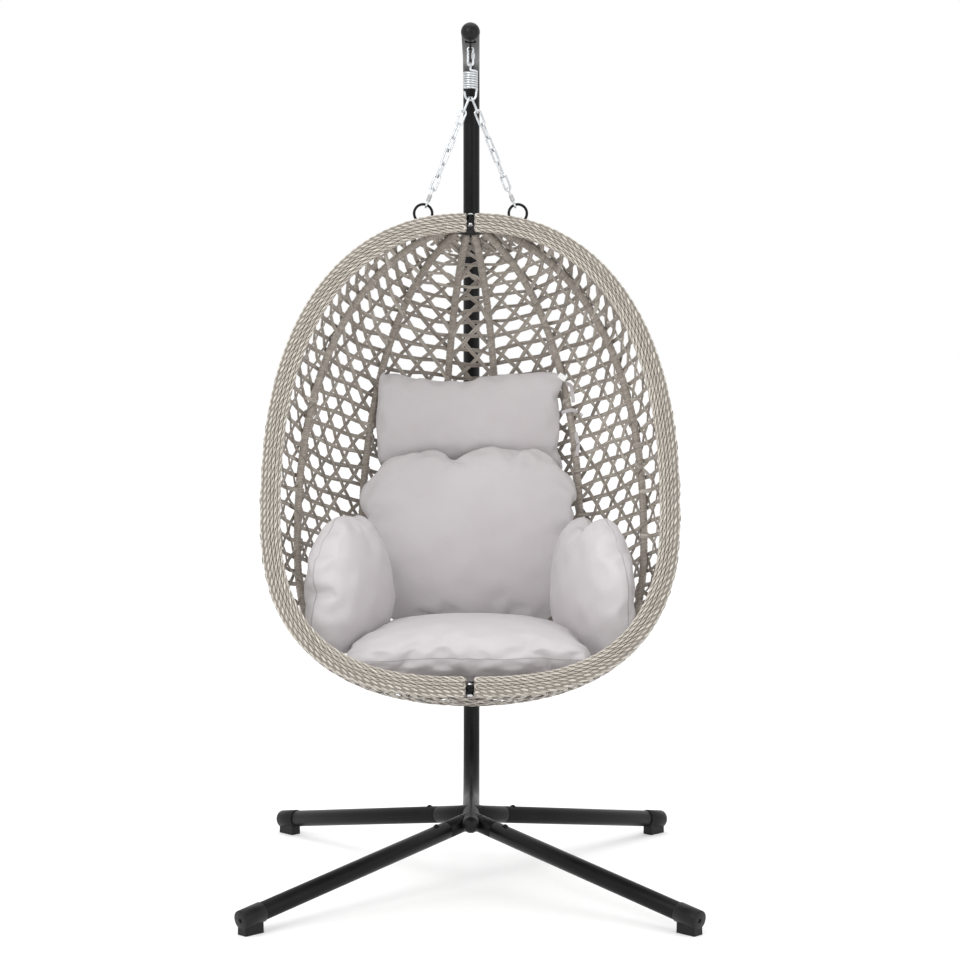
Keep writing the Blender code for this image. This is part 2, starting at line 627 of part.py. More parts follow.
def build_rim(parent):
    for side, word in ((-1, "left"), (1, "right")):
        tube = place("rim_tube_" + word, sweep(rim_tube_path(side), RIM_TUBE_R, 10, BACK),
                     black_coat, parent)
        for top in (True, False):
            level = hinge_levels(top)[0]
            upper_layer = (side < 0) == top
            low = level + (0.5 * GAP if upper_layer else -0.5 * GAP - LUG_THICKNESS)
            end = "top" if top else "bottom"
            lug = place(f"rim_lug_{end}_{word}", hinge_lug(side, low), None, parent, helper=True)
            combine(tube, lug, "UNION")
            hole = rod(basket_point(0, 0, level - 0.03), basket_point(0, 0, level + 0.03),
                       BOLT_R + GAP, 10)
            combine(tube, place(f"rim_lug_hole_{end}_{word}", hole, None, parent, helper=True),
                    "DIFFERENCE")
        eye = arc(basket_point(side * EYE_X, EYE_BACK, EYE_CENTRE_V), EYE_R, 0, 2 * pi * 11 / 12,
                  11, BACK, UP)
        combine(tube, place("ring_eye_" + word, sweep(eye, EYE_WIRE_R, 6, X_AXIS, closed=True),
                            None, parent, helper=True), "UNION")

        band_inset = 0.5 * BAND_WIDTH - RIM_TUBE_INSET
        outer = []
        for k in range(12):
            angle = 2 * pi * k / 12
            wide = 0.5 * BAND_WIDTH * (1 if cos(angle) > 0 else -1) * abs(cos(angle)) ** 0.8
            deep = BAND_HALF_DEPTH * (1 if sin(angle) > 0 else -1) * abs(sin(angle)) ** 0.8
            outer.append((wide + side * band_inset, deep))
        inner = [(BAND_HOLE_R * cos(2 * pi * k / 12), BAND_HOLE_R * sin(2 * pi * k / 12))
                 for k in range(12)]
        band = place("rim_band_" + word, hollow_sweep(rim_path(side), outer,
                     inner, BACK), wicker, parent)
        origin = basket_point(side * EYE_X, EYE_BACK, EYE_CENTRE_V - EYE_SLOT_DROP)
        slot = prism(EYE_SLOT, UP, EYE_SLOT_HEIGHT, origin, ACROSS, BACK)
        combine(band, place("eye_slot_" + word, slot, None, parent, helper=True), "DIFFERENCE")


RIB_INSET = 0.5 * GAP + LUG_THICKNESS + GAP + 0.5 * HUB_PLATE_THICKNESS
RIB_RISE = TUBE_RISE - RIB_INSET
RIB_DROP = TUBE_DROP - RIB_INSET


def rib_ends():
    """Outline angles at which the ribs leave the top hinge plate and reach the bottom one."""
    share = (PLATE_WIDTH + PLATE_CLEARANCE) / TUBE_HALF_WIDTH
    return asin(share ** (RIM_TOP_POWER / 2)), pi - asin(share ** (RIM_BOTTOM_POWER / 2))


def rib_line(angle):
    """(x, u, v) along a rib, which lies in a plane through the hinge axis."""
    outline = superellipse(TUBE_HALF_WIDTH, RIB_RISE, RIB_DROP, RIB_STEPS, *rib_ends())
    depth_ratio = BASKET_DEPTH / TUBE_HALF_WIDTH
    return [(w * cos(angle), w * depth_ratio * sin(angle), v) for w, v in outline]


def build_ribs(parent):
    angles = [(a, "left", -1) for a in RIB_ANGLES] + [(a, "right", 1) for a in RIB_ANGLES]
    for degrees, word, side in angles:
        number = RIB_ANGLES.index(degrees) + 1
        path = [basket_point(side * x, u, v) for x, u, v in rib_line(radians(degrees))]
        radii = [RIB_END_R if k in (0, len(path) - 1) else RIB_R for k in range(len(path))]
        axis_side = ACROSS * (side * sin(radians(degrees))) - BACK * cos(radians(degrees))
        place(f"rib_{word}_{number}", sweep(path, radii, 7, axis_side), wicker, parent)


def build_hinges(parent):
    depth_ratio = BASKET_DEPTH / TUBE_HALF_WIDTH
    for top, word in ((True, "top"), (False, "bottom")):
        level, inward = hinge_levels(top)
        near = level + inward * (0.5 * GAP + LUG_THICKNESS + GAP)
        far = near + inward * HUB_PLATE_THICKNESS
        low = min(near, far)
        front = BAND_HALF_DEPTH + 0.0015
        outline = [(LUG_HALF_WIDTH, front), (LUG_HALF_WIDTH, -LUG_HALF_WIDTH),
                   (-LUG_HALF_WIDTH, -LUG_HALF_WIDTH), (-LUG_HALF_WIDTH, front)]
        start = asin(front / (PLATE_WIDTH * depth_ratio))
        for k in range(11):
            angle = pi - start - (pi - 2 * start) * k / 10
            outline.append((PLATE_WIDTH * cos(angle), PLATE_WIDTH * depth_ratio * sin(angle)))
        plate = place("rib_hub_" + word, prism(outline, UP, HUB_PLATE_THICKNESS,
                      basket_point(0, 0, low), ACROSS, BACK), black_coat, parent)
        hole = rod(basket_point(0, 0, low - 0.01), basket_point(0, 0, low + 0.02),
                   BOLT_R + GAP, 10)
        combine(plate, place("rib_hub_hole_" + word, hole, None, parent, helper=True),
                "DIFFERENCE")
        outer_face = 0.5 * GAP + LUG_THICKNESS + GAP
        inner_face = outer_face + HUB_PLATE_THICKNESS + GAP
        profile = [(-inner_face - BOLT_HEAD_HEIGHT, BOLT_HEAD_TOP_R), (-inner_face, BOLT_HEAD_R),
                   (-inner_face, BOLT_R), (outer_face, BOLT_R), (outer_face, BOLT_HEAD_R),
                   (outer_face + BOLT_HEAD_HEIGHT, BOLT_HEAD_TOP_R)]
        axis = UP if top else -UP
        place("hinge_bolt_" + word, turned(profile, basket_point(0, 0, level), axis, 8), zinc,
              parent)


WEAVE_OFFSET = RIB_R + WEAVE_CLEARANCE + 0.5 * WEAVE_THICKNESS
WEAVE_FRONT = BAND_HALF_DEPTH + WEAVE_EDGE_GAP


def weave_point(turn, sweep_angle, offset):
    """A point of the woven skin: turn runs round the basket in radians from the right rim,
    sweep_angle from its top to its bottom."""
    half_width = TUBE_HALF_WIDTH + WEAVE_OFFSET + offset
    depth = BASKET_DEPTH + WEAVE_OFFSET + offset
    rise = RIB_RISE + WEAVE_OFFSET + offset
    drop = RIB_DROP + WEAVE_OFFSET + offset
    width, v = egg_point(half_width, rise, drop, sweep_angle)
    front = asin(min(1.0, WEAVE_FRONT / (width * depth / half_width)))
    angle = min(max(turn, front), pi - front)
    return basket_point(width * cos(angle), width * depth / half_width * sin(angle), v)


def build_weave(parent):
    steps = [0.0] + [a * 0.5 for a in range(27, 163, 27)]
    turns = [radians(a) for a in steps + [180 - a for a in reversed(steps)]]
    rows, columns = RIB_STEPS, len(turns) - 1
    first, last = rib_ends()
    built = bmesh.new()
    skins = []
    for offset in (0.5 * WEAVE_THICKNESS, -0.5 * WEAVE_THICKNESS):
        grid = []
        for i in range(rows + 1):
            angle = first + (last - first) * i / rows
            grid.append([built.verts.new(weave_point(turn, angle, offset)) for turn in turns])
        skins.append(grid)
        for i in range(rows):
            for j in range(columns):
                built.faces.new((grid[i][j], grid[i][j + 1], grid[i + 1][j + 1], grid[i + 1][j]))
    out, inn = skins
    edge = [(0, j) for j in range(columns)] + [(i, columns) for i in range(rows)]
    edge += [(rows, j) for j in range(columns, 0, -1)] + [(i, 0) for i in range(rows, 0, -1)]
    for k, (i, j) in enumerate(edge):
        m, n = edge[(k + 1) % len(edge)]
        built.faces.new((out[i][j], out[m][n], inn[m][n], inn[i][j]))
    weave = place("basket_weave", built, wicker, parent)
    for side, word in ((-1, "left"), (1, "right")):
        notch = [(side * a, b) for a, b in NOTCH]
        origin = basket_point(side * EYE_X, EYE_BACK, EYE_CENTRE_V - NOTCH_DROP)
        cutter = prism(notch, UP, NOTCH_HEIGHT, origin, ACROSS, BACK)
        combine(weave, place("ring_notch_" + word, cutter, None, parent, helper=True), "DIFFERENCE")


# ---------------------------------------------------------------- cushions
def cushion(name, centre, half_size, crowns, lean, turn, wrap, taper, parent):
    """A stuffed cushion: half_size is (across, up), crowns are its front and back swell.

    Before it is placed, the cushion stands in the XZ plane with its front towards -Y. wrap bends
    its side edges forward and taper narrows its top; lean tips its top back and turn swings it
    about the vertical.
    """
    columns, rows = CUSHION_COLUMNS, CUSHION_ROWS
    power, draw = CUSHION_EDGE_POWER, CUSHION_EDGE_DRAW
    placing = Matrix.Translation(centre) @ Matrix.Rotation(turn, 4, "Z")
    placing = placing @ Matrix.Rotation(-lean, 4, "X")
    built = bmesh.new()
    sheets = []
    for face, crown in ((-1, crowns[0]), (1, crowns[1])):
        grid = []
        for i in range(rows + 1):
            row = []
            for j in range(columns + 1):
                a = -1 + 2 * j / columns
                b = -1 + 2 * i / rows
                on_edge = i in (0, rows) or j in (0, columns)
                if face > 0 and on_edge:
                    row.append(sheets[0][i][j])
                    continue
                x = half_size[0] * a * (1 - draw * (1 - b * b)) * (1 - taper * b)
                z = half_size[1] * b * (1 - draw * (1 - a * a))
                swell = ((1 - abs(a) ** power) * (1 - abs(b) ** power)) ** CUSHION_SWELL_POWER
                y = face * crown * swell - wrap * a * a
                row.append(built.verts.new(placing @ Vector((x, y, z))))
            grid.append(row)
        sheets.append(grid)
        for i in range(rows):
            for j in range(columns):
                built.faces.new((grid[i][j], grid[i][j + 1], grid[i + 1][j + 1], grid[i + 1][j]))
    place(name, built, cushion_cloth, parent)


def build_cushions(parent):
    cushion("cushion_seat", Vector((0, HANG_Y - 0.062, 0.580)), (0.240, 0.205), (0.068, 0.062),
            radians(90), 0.0, 0.0, 0.09, parent)
    cushion("cushion_back", Vector((0, HANG_Y + 0.236, 0.795)), (0.232, 0.185), (0.072, 0.058),
            radians(7), 0.0, 0.045, 0.0, parent)
    cushion("cushion_head", Vector((0, HANG_Y + 0.319, 1.072)), (0.213, 0.112), (0.050, 0.040),
            radians(-4), 0.0, 0.040, 0.0, parent)
    for side, word in ((-1, "left"), (1, "right")):
        cushion("cushion_arm_" + word, Vector((side * 0.278, HANG_Y - 0.052, 0.730)), (0.165, 0.148),
                (0.050, 0.070), 0.0, side * radians(104), 0.0, 0.0, parent)


# ---------------------------------------------------------------- assembly
def main():
    for obj in list(bpy.data.objects):
        bpy.data.objects.remove(obj, do_unlink=True)
    stand = empty("stand", (0, 0, 0))
    pivots = {
        "link": empty("swing_fore_aft_axis", (0, HANG_Y, TOP_LINK_Z)),
        "spring_top": empty("swing_sideways_axis", (0, HANG_Y, HOOK_Z)),
        "spring_bottom": empty("spring_bounce_axis", (0, HANG_Y, COIL_BOTTOM_Z)),
        "chains": empty("basket_twist_axis", (0, HANG_Y, J_HOOK_Z)),
        "basket": empty("basket_rock_axis", PIVOT, -BASKET_TILT),
    }
    build_stand(stand)
    build_spring(pivots)
    build_chains(pivots["chains"])
    build_rim(pivots["basket"])
    build_ribs(pivots["basket"])
    build_hinges(pivots["basket"])
    build_weave(pivots["basket"])
    build_cushions(pivots["basket"])


main()
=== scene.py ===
"""Looks of the hanging egg chair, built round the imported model.

Metres, +Z up, -Y towards the basket's open front. The frame's dimensions are repeated from the
part so that every smooth piece lies where its plain solid does.
"""

from math import asin, cos, pi, radians, sin, sqrt

import bmesh
import bpy
import numpy as np
from mathutils import Matrix, Vector


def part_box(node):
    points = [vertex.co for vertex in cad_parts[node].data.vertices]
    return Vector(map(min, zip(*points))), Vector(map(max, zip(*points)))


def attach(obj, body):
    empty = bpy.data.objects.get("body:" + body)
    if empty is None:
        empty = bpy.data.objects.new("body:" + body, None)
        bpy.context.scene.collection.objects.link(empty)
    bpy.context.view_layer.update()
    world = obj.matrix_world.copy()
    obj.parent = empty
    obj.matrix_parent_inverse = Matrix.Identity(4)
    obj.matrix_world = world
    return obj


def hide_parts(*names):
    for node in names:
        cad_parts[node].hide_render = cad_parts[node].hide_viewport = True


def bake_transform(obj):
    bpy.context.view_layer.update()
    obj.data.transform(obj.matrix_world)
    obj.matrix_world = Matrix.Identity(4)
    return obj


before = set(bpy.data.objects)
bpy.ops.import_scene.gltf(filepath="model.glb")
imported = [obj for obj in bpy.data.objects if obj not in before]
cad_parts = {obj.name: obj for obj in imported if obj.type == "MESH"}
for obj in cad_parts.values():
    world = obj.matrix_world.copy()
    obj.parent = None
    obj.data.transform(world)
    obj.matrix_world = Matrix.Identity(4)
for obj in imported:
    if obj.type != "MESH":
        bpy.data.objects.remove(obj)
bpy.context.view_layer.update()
random = np.random.default_rng(11)

# ---------------------------------------------------------------- dimensions of the part
GAP = 0.0003
TUBE_R = 0.020
POLE_BACK = 0.400
POLE_END_OFFSET = 0.052
POLE_FOOT_BEND = 0.200
POLE_HEAD_BEND = 0.150
POLE_JOINT_Z = 0.950
POLE_SPIGOT = 0.080
HANG_OFFSET = 0.167
ARM_TIP_OFFSET = 0.182
LEG_SLOPE = 0.167
LEG_REACH = 0.685
FRONT_STUB = 0.078
REAR_STUB = 0.108
LEG_SPIGOT = 0.060
REAR_LEG_OFFSET = 0.067
FOOT_CAP_R = 0.022
FOOT_CAP_LENGTH = 0.058
LINK_WIRE_R = 0.0023
QUICK_WIRE_R = 0.0025
SPRING_WIRE_R = 0.0025
COIL_R = 0.014
COIL_TURNS = 8
COIL_PITCH = 0.0052
HOOK_LOOP_R = 0.0085
CHAIN_LINKS = 7
CHAIN_LINK_WIDTH = 0.0170
TOP_LINK_LENGTH = 0.040
TOP_LINK_WIDTH = 0.0165
END_LINK_LENGTH = 0.0455
END_LINK_WIDTH = 0.0185
J_HOOK_R = 0.0125
J_HOOK_Z = 1.783
HOOK_PLAY = 0.0006
RING_R = 0.020
RING_WIRE_R = 0.003
RING_X = 0.1045
RING_Z = 1.535
BASKET_TILT = radians(18.50)
RIM_TOP_POWER = 2.3
RIM_BOTTOM_POWER = 2.7
TUBE_HALF_WIDTH = 0.436
TUBE_RISE = 0.631
TUBE_DROP = 0.424
RIM_TUBE_R = 0.009
BAND_WIDTH = 0.046
BAND_HALF_DEPTH = 0.012
BAND_END_X = 0.009
BASKET_DEPTH = 0.600
RIB_ANGLES = (27, 54, 81)
RIB_R = 0.0085
RIB_INSET = 0.01015
PLATE_WIDTH = 0.050
WEAVE_OFFSET = 0.0115
EYE_R = 0.0085
EYE_WIRE_R = 0.0025
EYE_BACK = 0.017
EYE_RISE = 0.008
EYE_SLACK = 0.0016
LUG_THICKNESS = 0.0057
HUB_PLATE_THICKNESS = 0.008
BOLT_R = 0.0036

# finish slots of the frame
COAT_SLOT = "black_powder_coat"
PLASTIC_SLOT = "black_plastic"
ZINC_SLOT = "zinc_plate"
BAND_SLOT = "braided_band"
CLOTH_SLOT = "cushion_cloth"

SIDES = ((-1, "left"), (1, "right"))
X_AXIS, Y_AXIS, Z_AXIS = Vector((1, 0, 0)), Vector((0, 1, 0)), Vector((0, 0, 1))


def middle(node):
    low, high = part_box(node)
    return (low + high) / 2


# places read from the frame
HANG_Y = middle("quick_link_top").y
HUB_Y = HANG_Y + HANG_OFFSET
HUB_Z = middle("hub_cap").z
ARM_Z = middle("arm_cap").z
TOP_LINK_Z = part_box("quick_link_top")[1].z - QUICK_WIRE_R
HOOK_Z = TOP_LINK_Z - TOP_LINK_LENGTH + QUICK_WIRE_R + SPRING_WIRE_R + GAP
COIL_TOP_Z = HOOK_Z - HOOK_LOOP_R - 0.0075
COIL_BOTTOM_Z = COIL_TOP_Z - COIL_TURNS * COIL_PITCH


# ---------------------------------------------------------------- materials
def shader_of(name, colour, roughness, metallic=0.0):
    """A material and its Principled shader."""
    made = bpy.data.materials.new(name)
    made.use_nodes = True
    made.diffuse_color = (*colour, 1.0)
    shader = made.node_tree.nodes["Principled BSDF"]
    set_inputs(shader, Base_Color=(*colour, 1.0), Roughness=roughness, Metallic=metallic)
    return made, shader


def set_inputs(node, **values):
    """Sets the sockets of a node; an underscore stands for the space in a socket's name."""
    for key, value in values.items():
        node.inputs[key.replace("_", " ")].default_value = value


def add_node(material, kind, **settings):
    node = material.node_tree.nodes.new(kind)
    for key, value in settings.items():
        setattr(node, key, value)
    return node


def join(material, output, target):
    material.node_tree.links.new(output, target)


def coordinates(material, scale):
    """Object coordinates in metres, stretched by scale."""
    source = add_node(material, "ShaderNodeTexCoord")
    mapping = add_node(material, "ShaderNodeMapping")
    set_inputs(mapping, Scale=scale)
    join(material, source.outputs["Object"], mapping.inputs["Vector"])
    return mapping.outputs["Vector"]


def noise(material, vector, scale, detail=3.0, rough=0.55):
    node = add_node(material, "ShaderNodeTexNoise")
    set_inputs(node, Scale=scale, Detail=detail, Roughness=rough)
    join(material, vector, node.inputs["Vector"])
    return node.outputs["Fac"]


def spread(material, value, low, high):
    """Maps a 0 to 1 value to a range."""
    node = add_node(material, "ShaderNodeMapRange")
    set_inputs(node, To_Min=low, To_Max=high)
    join(material, value, node.inputs["Value"])
    return node.outputs["Result"]


def ramp(material, value, stops):
    node = add_node(material, "ShaderNodeValToRGB")
    elements = node.color_ramp.elements
    while len(elements) < len(stops):
        elements.new(0.5)
    for element, (place, colour) in zip(elements, stops):
        element.position = place
        element.color = (*colour, 1.0)
    join(material, value, node.inputs["Fac"])
    return node.outputs["Color"]


def bump(material, shader, height, strength, distance, under=None):
    node = add_node(material, "ShaderNodeBump")
    set_inputs(node, Strength=strength, Distance=distance)
    join(material, height, node.inputs["Height"])
    if under is not None:
        join(material, under, node.inputs["Normal"])
    join(material, node.outputs["Normal"], shader.inputs["Normal"])
    return node.outputs["Normal"]


def tinted(material, colour):
    """A mix node that multiplies a colour by its other input."""
    shade = add_node(material, "ShaderNodeMix", data_type="RGBA", blend_type="MULTIPLY")
    join(material, colour, shade.inputs["A"])
    return shade


def powder_coat():
    """Satin black powder coat with a fine orange peel."""
    made, shader = shader_of("powder_coat", (0.0045, 0.0045, 0.0048), 0.36)
    place = coordinates(made, (1, 1, 1))
    broad = noise(made, place, 14.0, 4.0)
    colour = ramp(made, broad, [(0.3, (0.0035, 0.0035, 0.0038)), (0.7, (0.0060, 0.0060, 0.0063))])
    join(made, colour, shader.inputs["Base Color"])
    join(made, spread(made, broad, 0.28, 0.42), shader.inputs["Roughness"])
    bump(made, shader, noise(made, place, 900.0, 2.0), 0.25, 0.0002)
    set_inputs(shader, Specular_IOR_Level=0.15)
    return made


def moulded_plastic():
    """Black moulded polypropylene with a fine spark-eroded grain."""
    made, shader = shader_of("moulded_plastic", (0.006, 0.006, 0.0063), 0.36)
    place = coordinates(made, (1, 1, 1))
    join(made, spread(made, noise(made, place, 40.0), 0.28, 0.46), shader.inputs["Roughness"])
    set_inputs(shader, Specular_IOR_Level=0.22)
    bump(made, shader, noise(made, place, 1600.0, 2.0), 0.3, 0.0002)
    return made


def zinc_plate():
    """Bright zinc plating, slightly clouded."""
    made, shader = shader_of("zinc_plate", (0.80, 0.82, 0.84), 0.28, 1.0)
    place = coordinates(made, (1, 1, 1))
    cloud = noise(made, place, 120.0, 5.0)
    colour = ramp(made, cloud, [(0.3, (0.46, 0.48, 0.50)), (0.7, (0.70, 0.72, 0.74))])
    join(made, colour, shader.inputs["Base Color"])
    join(made, spread(made, cloud, 0.18, 0.40), shader.inputs["Roughness"])
    bump(made, shader, noise(made, place, 700.0, 2.0), 0.12, 0.0002)
    return made


def grey_steel():
    """Dull grey steel of the quick links' threaded sleeves."""
    made, shader = shader_of("grey_steel", (0.42, 0.42, 0.42), 0.5, 0.9)
    place = coordinates(made, (1, 1, 1))
    colour = ramp(made, noise(made, place, 400.0, 5.0),
                  [(0.3, (0.30, 0.30, 0.30)), (0.7, (0.55, 0.55, 0.54))])
    join(made, colour, shader.inputs["Base Color"])
    bump(made, shader, noise(made, place, 1500.0, 3.0), 0.4, 0.0003)
    return made


def cane(name, dark, medium, light, roughness):
    """Flat plastic cane: fine streaks run along each strand, and strands differ in tint."""
    made, shader = shader_of(name, medium, roughness)
    strand = add_node(made, "ShaderNodeAttribute", attribute_name="strand")
    mapping = add_node(made, "ShaderNodeMapping")
    set_inputs(mapping, Scale=(14.0, 620.0, 620.0))
    join(made, strand.outputs["Vector"], mapping.inputs["Vector"])
    streaks = noise(made, mapping.outputs["Vector"], 1.0, 4.0, 0.65)
    shade = tinted(made, ramp(made, streaks, [(0.26, dark), (0.5, medium), (0.74, light)]))
    set_inputs(shade, Factor=1.0)
    tint = add_node(made, "ShaderNodeAttribute", attribute_name="tint")
    grey = ramp(made, tint.outputs["Fac"], [(0.0, (0.66, 0.63, 0.60)), (1.0, (1.22, 1.22, 1.20))])
    join(made, grey, shade.inputs["B"])
    join(made, shade.outputs["Result"], shader.inputs["Base Color"])
    join(made, spread(made, streaks, roughness + 0.1, roughness - 0.1), shader.inputs["Roughness"])
    bump(made, shader, streaks, 0.5, 0.0004)
    return made


def cushion_cloth():
    """Plain-woven polyester in a light lilac grey, with painted shade darkening the sewn seam."""
    made, shader = shader_of("cushion_cloth", (0.525, 0.495, 0.508), 0.85)
    set_inputs(shader, Sheen_Weight=0.18, Sheen_Roughness=0.5)
    place = coordinates(made, (1, 1, 1))
    threads = []
    for axis in "XYZ":
        wave = add_node(made, "ShaderNodeTexWave", wave_type="BANDS", bands_direction=axis)
        set_inputs(wave, Scale=260.0, Distortion=1.2, Detail=1.0)
        join(made, place, wave.inputs["Vector"])
        threads.append(wave.outputs["Fac"])
    woven = threads[0]
    for other in threads[1:]:
        mixed = add_node(made, "ShaderNodeMath", operation="ADD")
        join(made, woven, mixed.inputs[0])
        join(made, other, mixed.inputs[1])
        woven = mixed.outputs[0]
    cloud = noise(made, place, 9.0, 4.0)
    colour = ramp(made, cloud, [(0.25, (0.510, 0.480, 0.492)), (0.75, (0.548, 0.520, 0.530))])
    # painted shade: the colour is multiplied down towards (0.62, 0.60, 0.61) along the seam, standing
    # in for shade in its crease
    seam = add_node(made, "ShaderNodeAttribute", attribute_name="seam")
    line = add_node(made, "ShaderNodeMapRange")
    set_inputs(line, From_Min=0.72)
    join(made, seam.outputs["Fac"], line.inputs["Value"])
    shade = tinted(made, colour)
    join(made, line.outputs["Result"], shade.inputs["Factor"])
    set_inputs(shade, B=(0.62, 0.60, 0.61, 1.0))
    join(made, shade.outputs["Result"], shader.inputs["Base Color"])
    coarse = bump(made, shader, woven, 0.25, 0.0003)
    bump(made, shader, noise(made, place, 60.0, 5.0), 0.12, 0.002, under=coarse)
    return made


def tag_cloth():
    made, shader = shader_of("tag_cloth", (0.86, 0.86, 0.85), 0.7)
    bump(made, shader, noise(made, coordinates(made, (1, 1, 1)), 900.0, 3.0), 0.2, 0.0003)
    return made


POWDER = powder_coat()
PLASTIC = moulded_plastic()
ZINC = zinc_plate()
SLEEVE_STEEL = grey_steel()
WEAVE_CANE = cane("weave_cane", (0.125, 0.108, 0.092), (0.335, 0.305, 0.272), (0.60, 0.565, 0.52), 0.42)
RIB_CANE = cane("rib_cane", (0.12, 0.103, 0.088), (0.31, 0.278, 0.245), (0.54, 0.505, 0.46), 0.48)
RIM_CANE = cane("rim_cane", (0.27, 0.245, 0.215), (0.48, 0.45, 0.405), (0.70, 0.67, 0.615), 0.42)
# the rim's core: a darker copy of the rim cane, painted shade for the gaps between the rope stitches
SHADED_CORE_CANE = cane("core_cane_painted_shade", (0.13, 0.115, 0.10), (0.21, 0.192, 0.17), (0.30, 0.28, 0.25), 0.7)
CLOTH = cushion_cloth()
TAG = tag_cloth()


# ---------------------------------------------------------------- mesh helpers
def unit(vectors):
    return vectors / np.maximum(np.linalg.norm(vectors, axis=-1, keepdims=True), 1e-12)


def array(points):
    return np.array([tuple(p) for p in points], float)


class Strands:
    """Collects swept strands, each with its own section, into one mesh."""

    def __init__(self):
        self.points, self.loops, self.sizes = [], [], []
        self.strand, self.tints = [], []
        self.count = 0

    def shell(self, points, own, closed=False, tint=0.5):
        """Joins rings of points by quads, and caps both ends unless the strand is closed."""
        count, sides = points.shape[:2]
        rows = np.arange(count if closed else count - 1)[:, None]
        columns = np.arange(sides)[None, :]
        after, beside = (rows + 1) % count, (columns + 1) % sides
        corners = [rows * sides + columns, rows * sides + beside,
                   after * sides + beside, after * sides + columns]
        quads = np.stack(corners, -1).reshape(-1, 4) + self.count
        self.loops.append(quads.ravel())
        self.sizes.append(np.full(len(quads), 4))
        if not closed:
            rim = np.arange(sides)
            self.loops += [rim[::-1] + self.count, rim + self.count + (count - 1) * sides]
            self.sizes.append(np.array([sides, sides]))
        self.points.append(points.reshape(-1, 3))
        self.strand.append(own.reshape(-1, 3))
        self.tints.append(np.full(count * sides, tint))
        self.count += count * sides

    def add(self, path, normal, section, closed=False, tint=0.5, start=0.0):
        """Sweeps a section along a path; start shifts the coordinates along the strand."""
        path = np.asarray(path, float)
        if closed:
            tangent = unit(np.roll(path, -1, 0) - np.roll(path, 1, 0))
        else:
            tangent = unit(np.gradient(path, axis=0))
        normal = np.broadcast_to(np.asarray(normal, float), path.shape)
        across = unit(np.cross(normal, tangent))
        up = np.cross(tangent, across)
        section = np.asarray(section, float)
        section = np.broadcast_to(section, (len(path),) + section.shape[-2:])
        points = path[:, None] + across[:, None] * section[..., :1] + up[:, None] * section[..., 1:]
        steps = np.linalg.norm(np.diff(path, axis=0), axis=1)
        along = start + np.concatenate([[0.0], np.cumsum(steps)])
        along = np.repeat(along[:, None], section.shape[1], 1)
        own = np.dstack([along, section[..., 0], section[..., 1]])
        self.shell(points, own, closed, tint)

    def build(self, name, finish):
        return mesh_object(name, np.concatenate(self.points), np.concatenate(self.loops),
                           np.concatenate(self.sizes), finish,
                           strand=np.concatenate(self.strand), tint=np.concatenate(self.tints))

    def place(self, name, finish, body, slot, *nodes):
        """Builds the mesh and settles it in the frame."""
        return settle(self.build(name, finish), body, slot, *nodes)


def add_layer(mesh, name, kind, values):
    """Stores one value or vector at each point of a mesh."""
    layer = mesh.attributes.new(name, kind, "POINT")
    field = "vector" if kind == "FLOAT_VECTOR" else "value"
    layer.data.foreach_set(field, np.asarray(values, np.float32).ravel())


def link_object(name, mesh, finish):
    mesh.materials.append(finish)
    made = bpy.data.objects.new(name, mesh)
    bpy.context.scene.collection.objects.link(made)
    return made


def mesh_object(name, points, loops, sizes, finish, strand=None, tint=None):
    """A smooth-shaded object from points, corner numbers and the corner count of each face."""
    mesh = bpy.data.meshes.new(name)
    mesh.vertices.add(len(points))
    mesh.vertices.foreach_set("co", np.asarray(points, np.float32).ravel())
    mesh.loops.add(len(loops))
    mesh.loops.foreach_set("vertex_index", np.asarray(loops, np.int32))
    mesh.polygons.add(len(sizes))
    starts = np.concatenate([[0], np.cumsum(sizes)[:-1]])
    mesh.polygons.foreach_set("loop_start", np.asarray(starts, np.int32))
    mesh.update(calc_edges=True)
    if strand is not None:
        add_layer(mesh, "strand", "FLOAT_VECTOR", strand)
        add_layer(mesh, "tint", "FLOAT", tint)
    mesh.shade_smooth()
    mesh.set_sharp_from_angle(angle=radians(45))
    return link_object(name, mesh, finish)


def join_rings(built, one, two, flip=False):
    """Faces between two rings of as many corners."""
    count = len(one)
    for k in range(count):
        n = (k + 1) % count
        face = (one[k], one[n], two[n], two[k])
        built.faces.new(face[::-1] if flip else face)


def soft_edged(name, built, finish, edge_width, segments=2, sharp_angle=None):
    """An object from a built form, with its edges rounded."""
    bmesh.ops.recalc_face_normals(built, faces=built.faces)
    mesh = bpy.data.meshes.new(name)
    built.to_mesh(mesh)
    built.free()
    if sharp_angle is not None:
        mesh.shade_smooth()
        mesh.set_sharp_from_angle(angle=sharp_angle)
    made = link_object(name, mesh, finish)
    edge = made.modifiers.new("edges", "BEVEL")
    edge.width = edge_width
    edge.segments = segments
    return made


def superellipse(angle, wide_power, high_power):
    """Cosine and sine of an angle, drawn towards the corners by powers below one."""
    wide, high = np.cos(angle), np.sin(angle)
    return np.sign(wide) * np.abs(wide) ** wide_power, np.sign(high) * np.abs(high) ** high_power


def oval(half_width, half_height, sides=8, power=1.0):
    wide, high = superellipse(2 * pi * (np.arange(sides) + 0.5) / sides, power, power)
    return np.stack([half_width * wide, half_height * high], -1)


def settle(obj, body, slot, *nodes):
    """The piece rides on a body and stands for its plain solids; the finish slot is not used."""
    if body is not None:
        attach(obj, body)
    if nodes:
        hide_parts(*nodes)
    return obj


def rounded_ends(path, radius, chamfer):
    """A path with two close points more at each end, and the radii that round those ends."""
    path = np.asarray(path, float)
    first, last = unit(path[1] - path[0]), unit(path[-1] - path[-2])
    path = np.concatenate([[path[0], path[0] + first * chamfer * 0.4, path[0] + first * chamfer],
                           path[1:-1],
                           [path[-1] - last * chamfer, path[-1] - last * chamfer * 0.4, path[-1]]])
    radii = np.full(len(path), radius)
    radii[[0, -1]] = radius - chamfer
    radii[[1, -2]] = radius - 0.3 * chamfer
    return path, radii


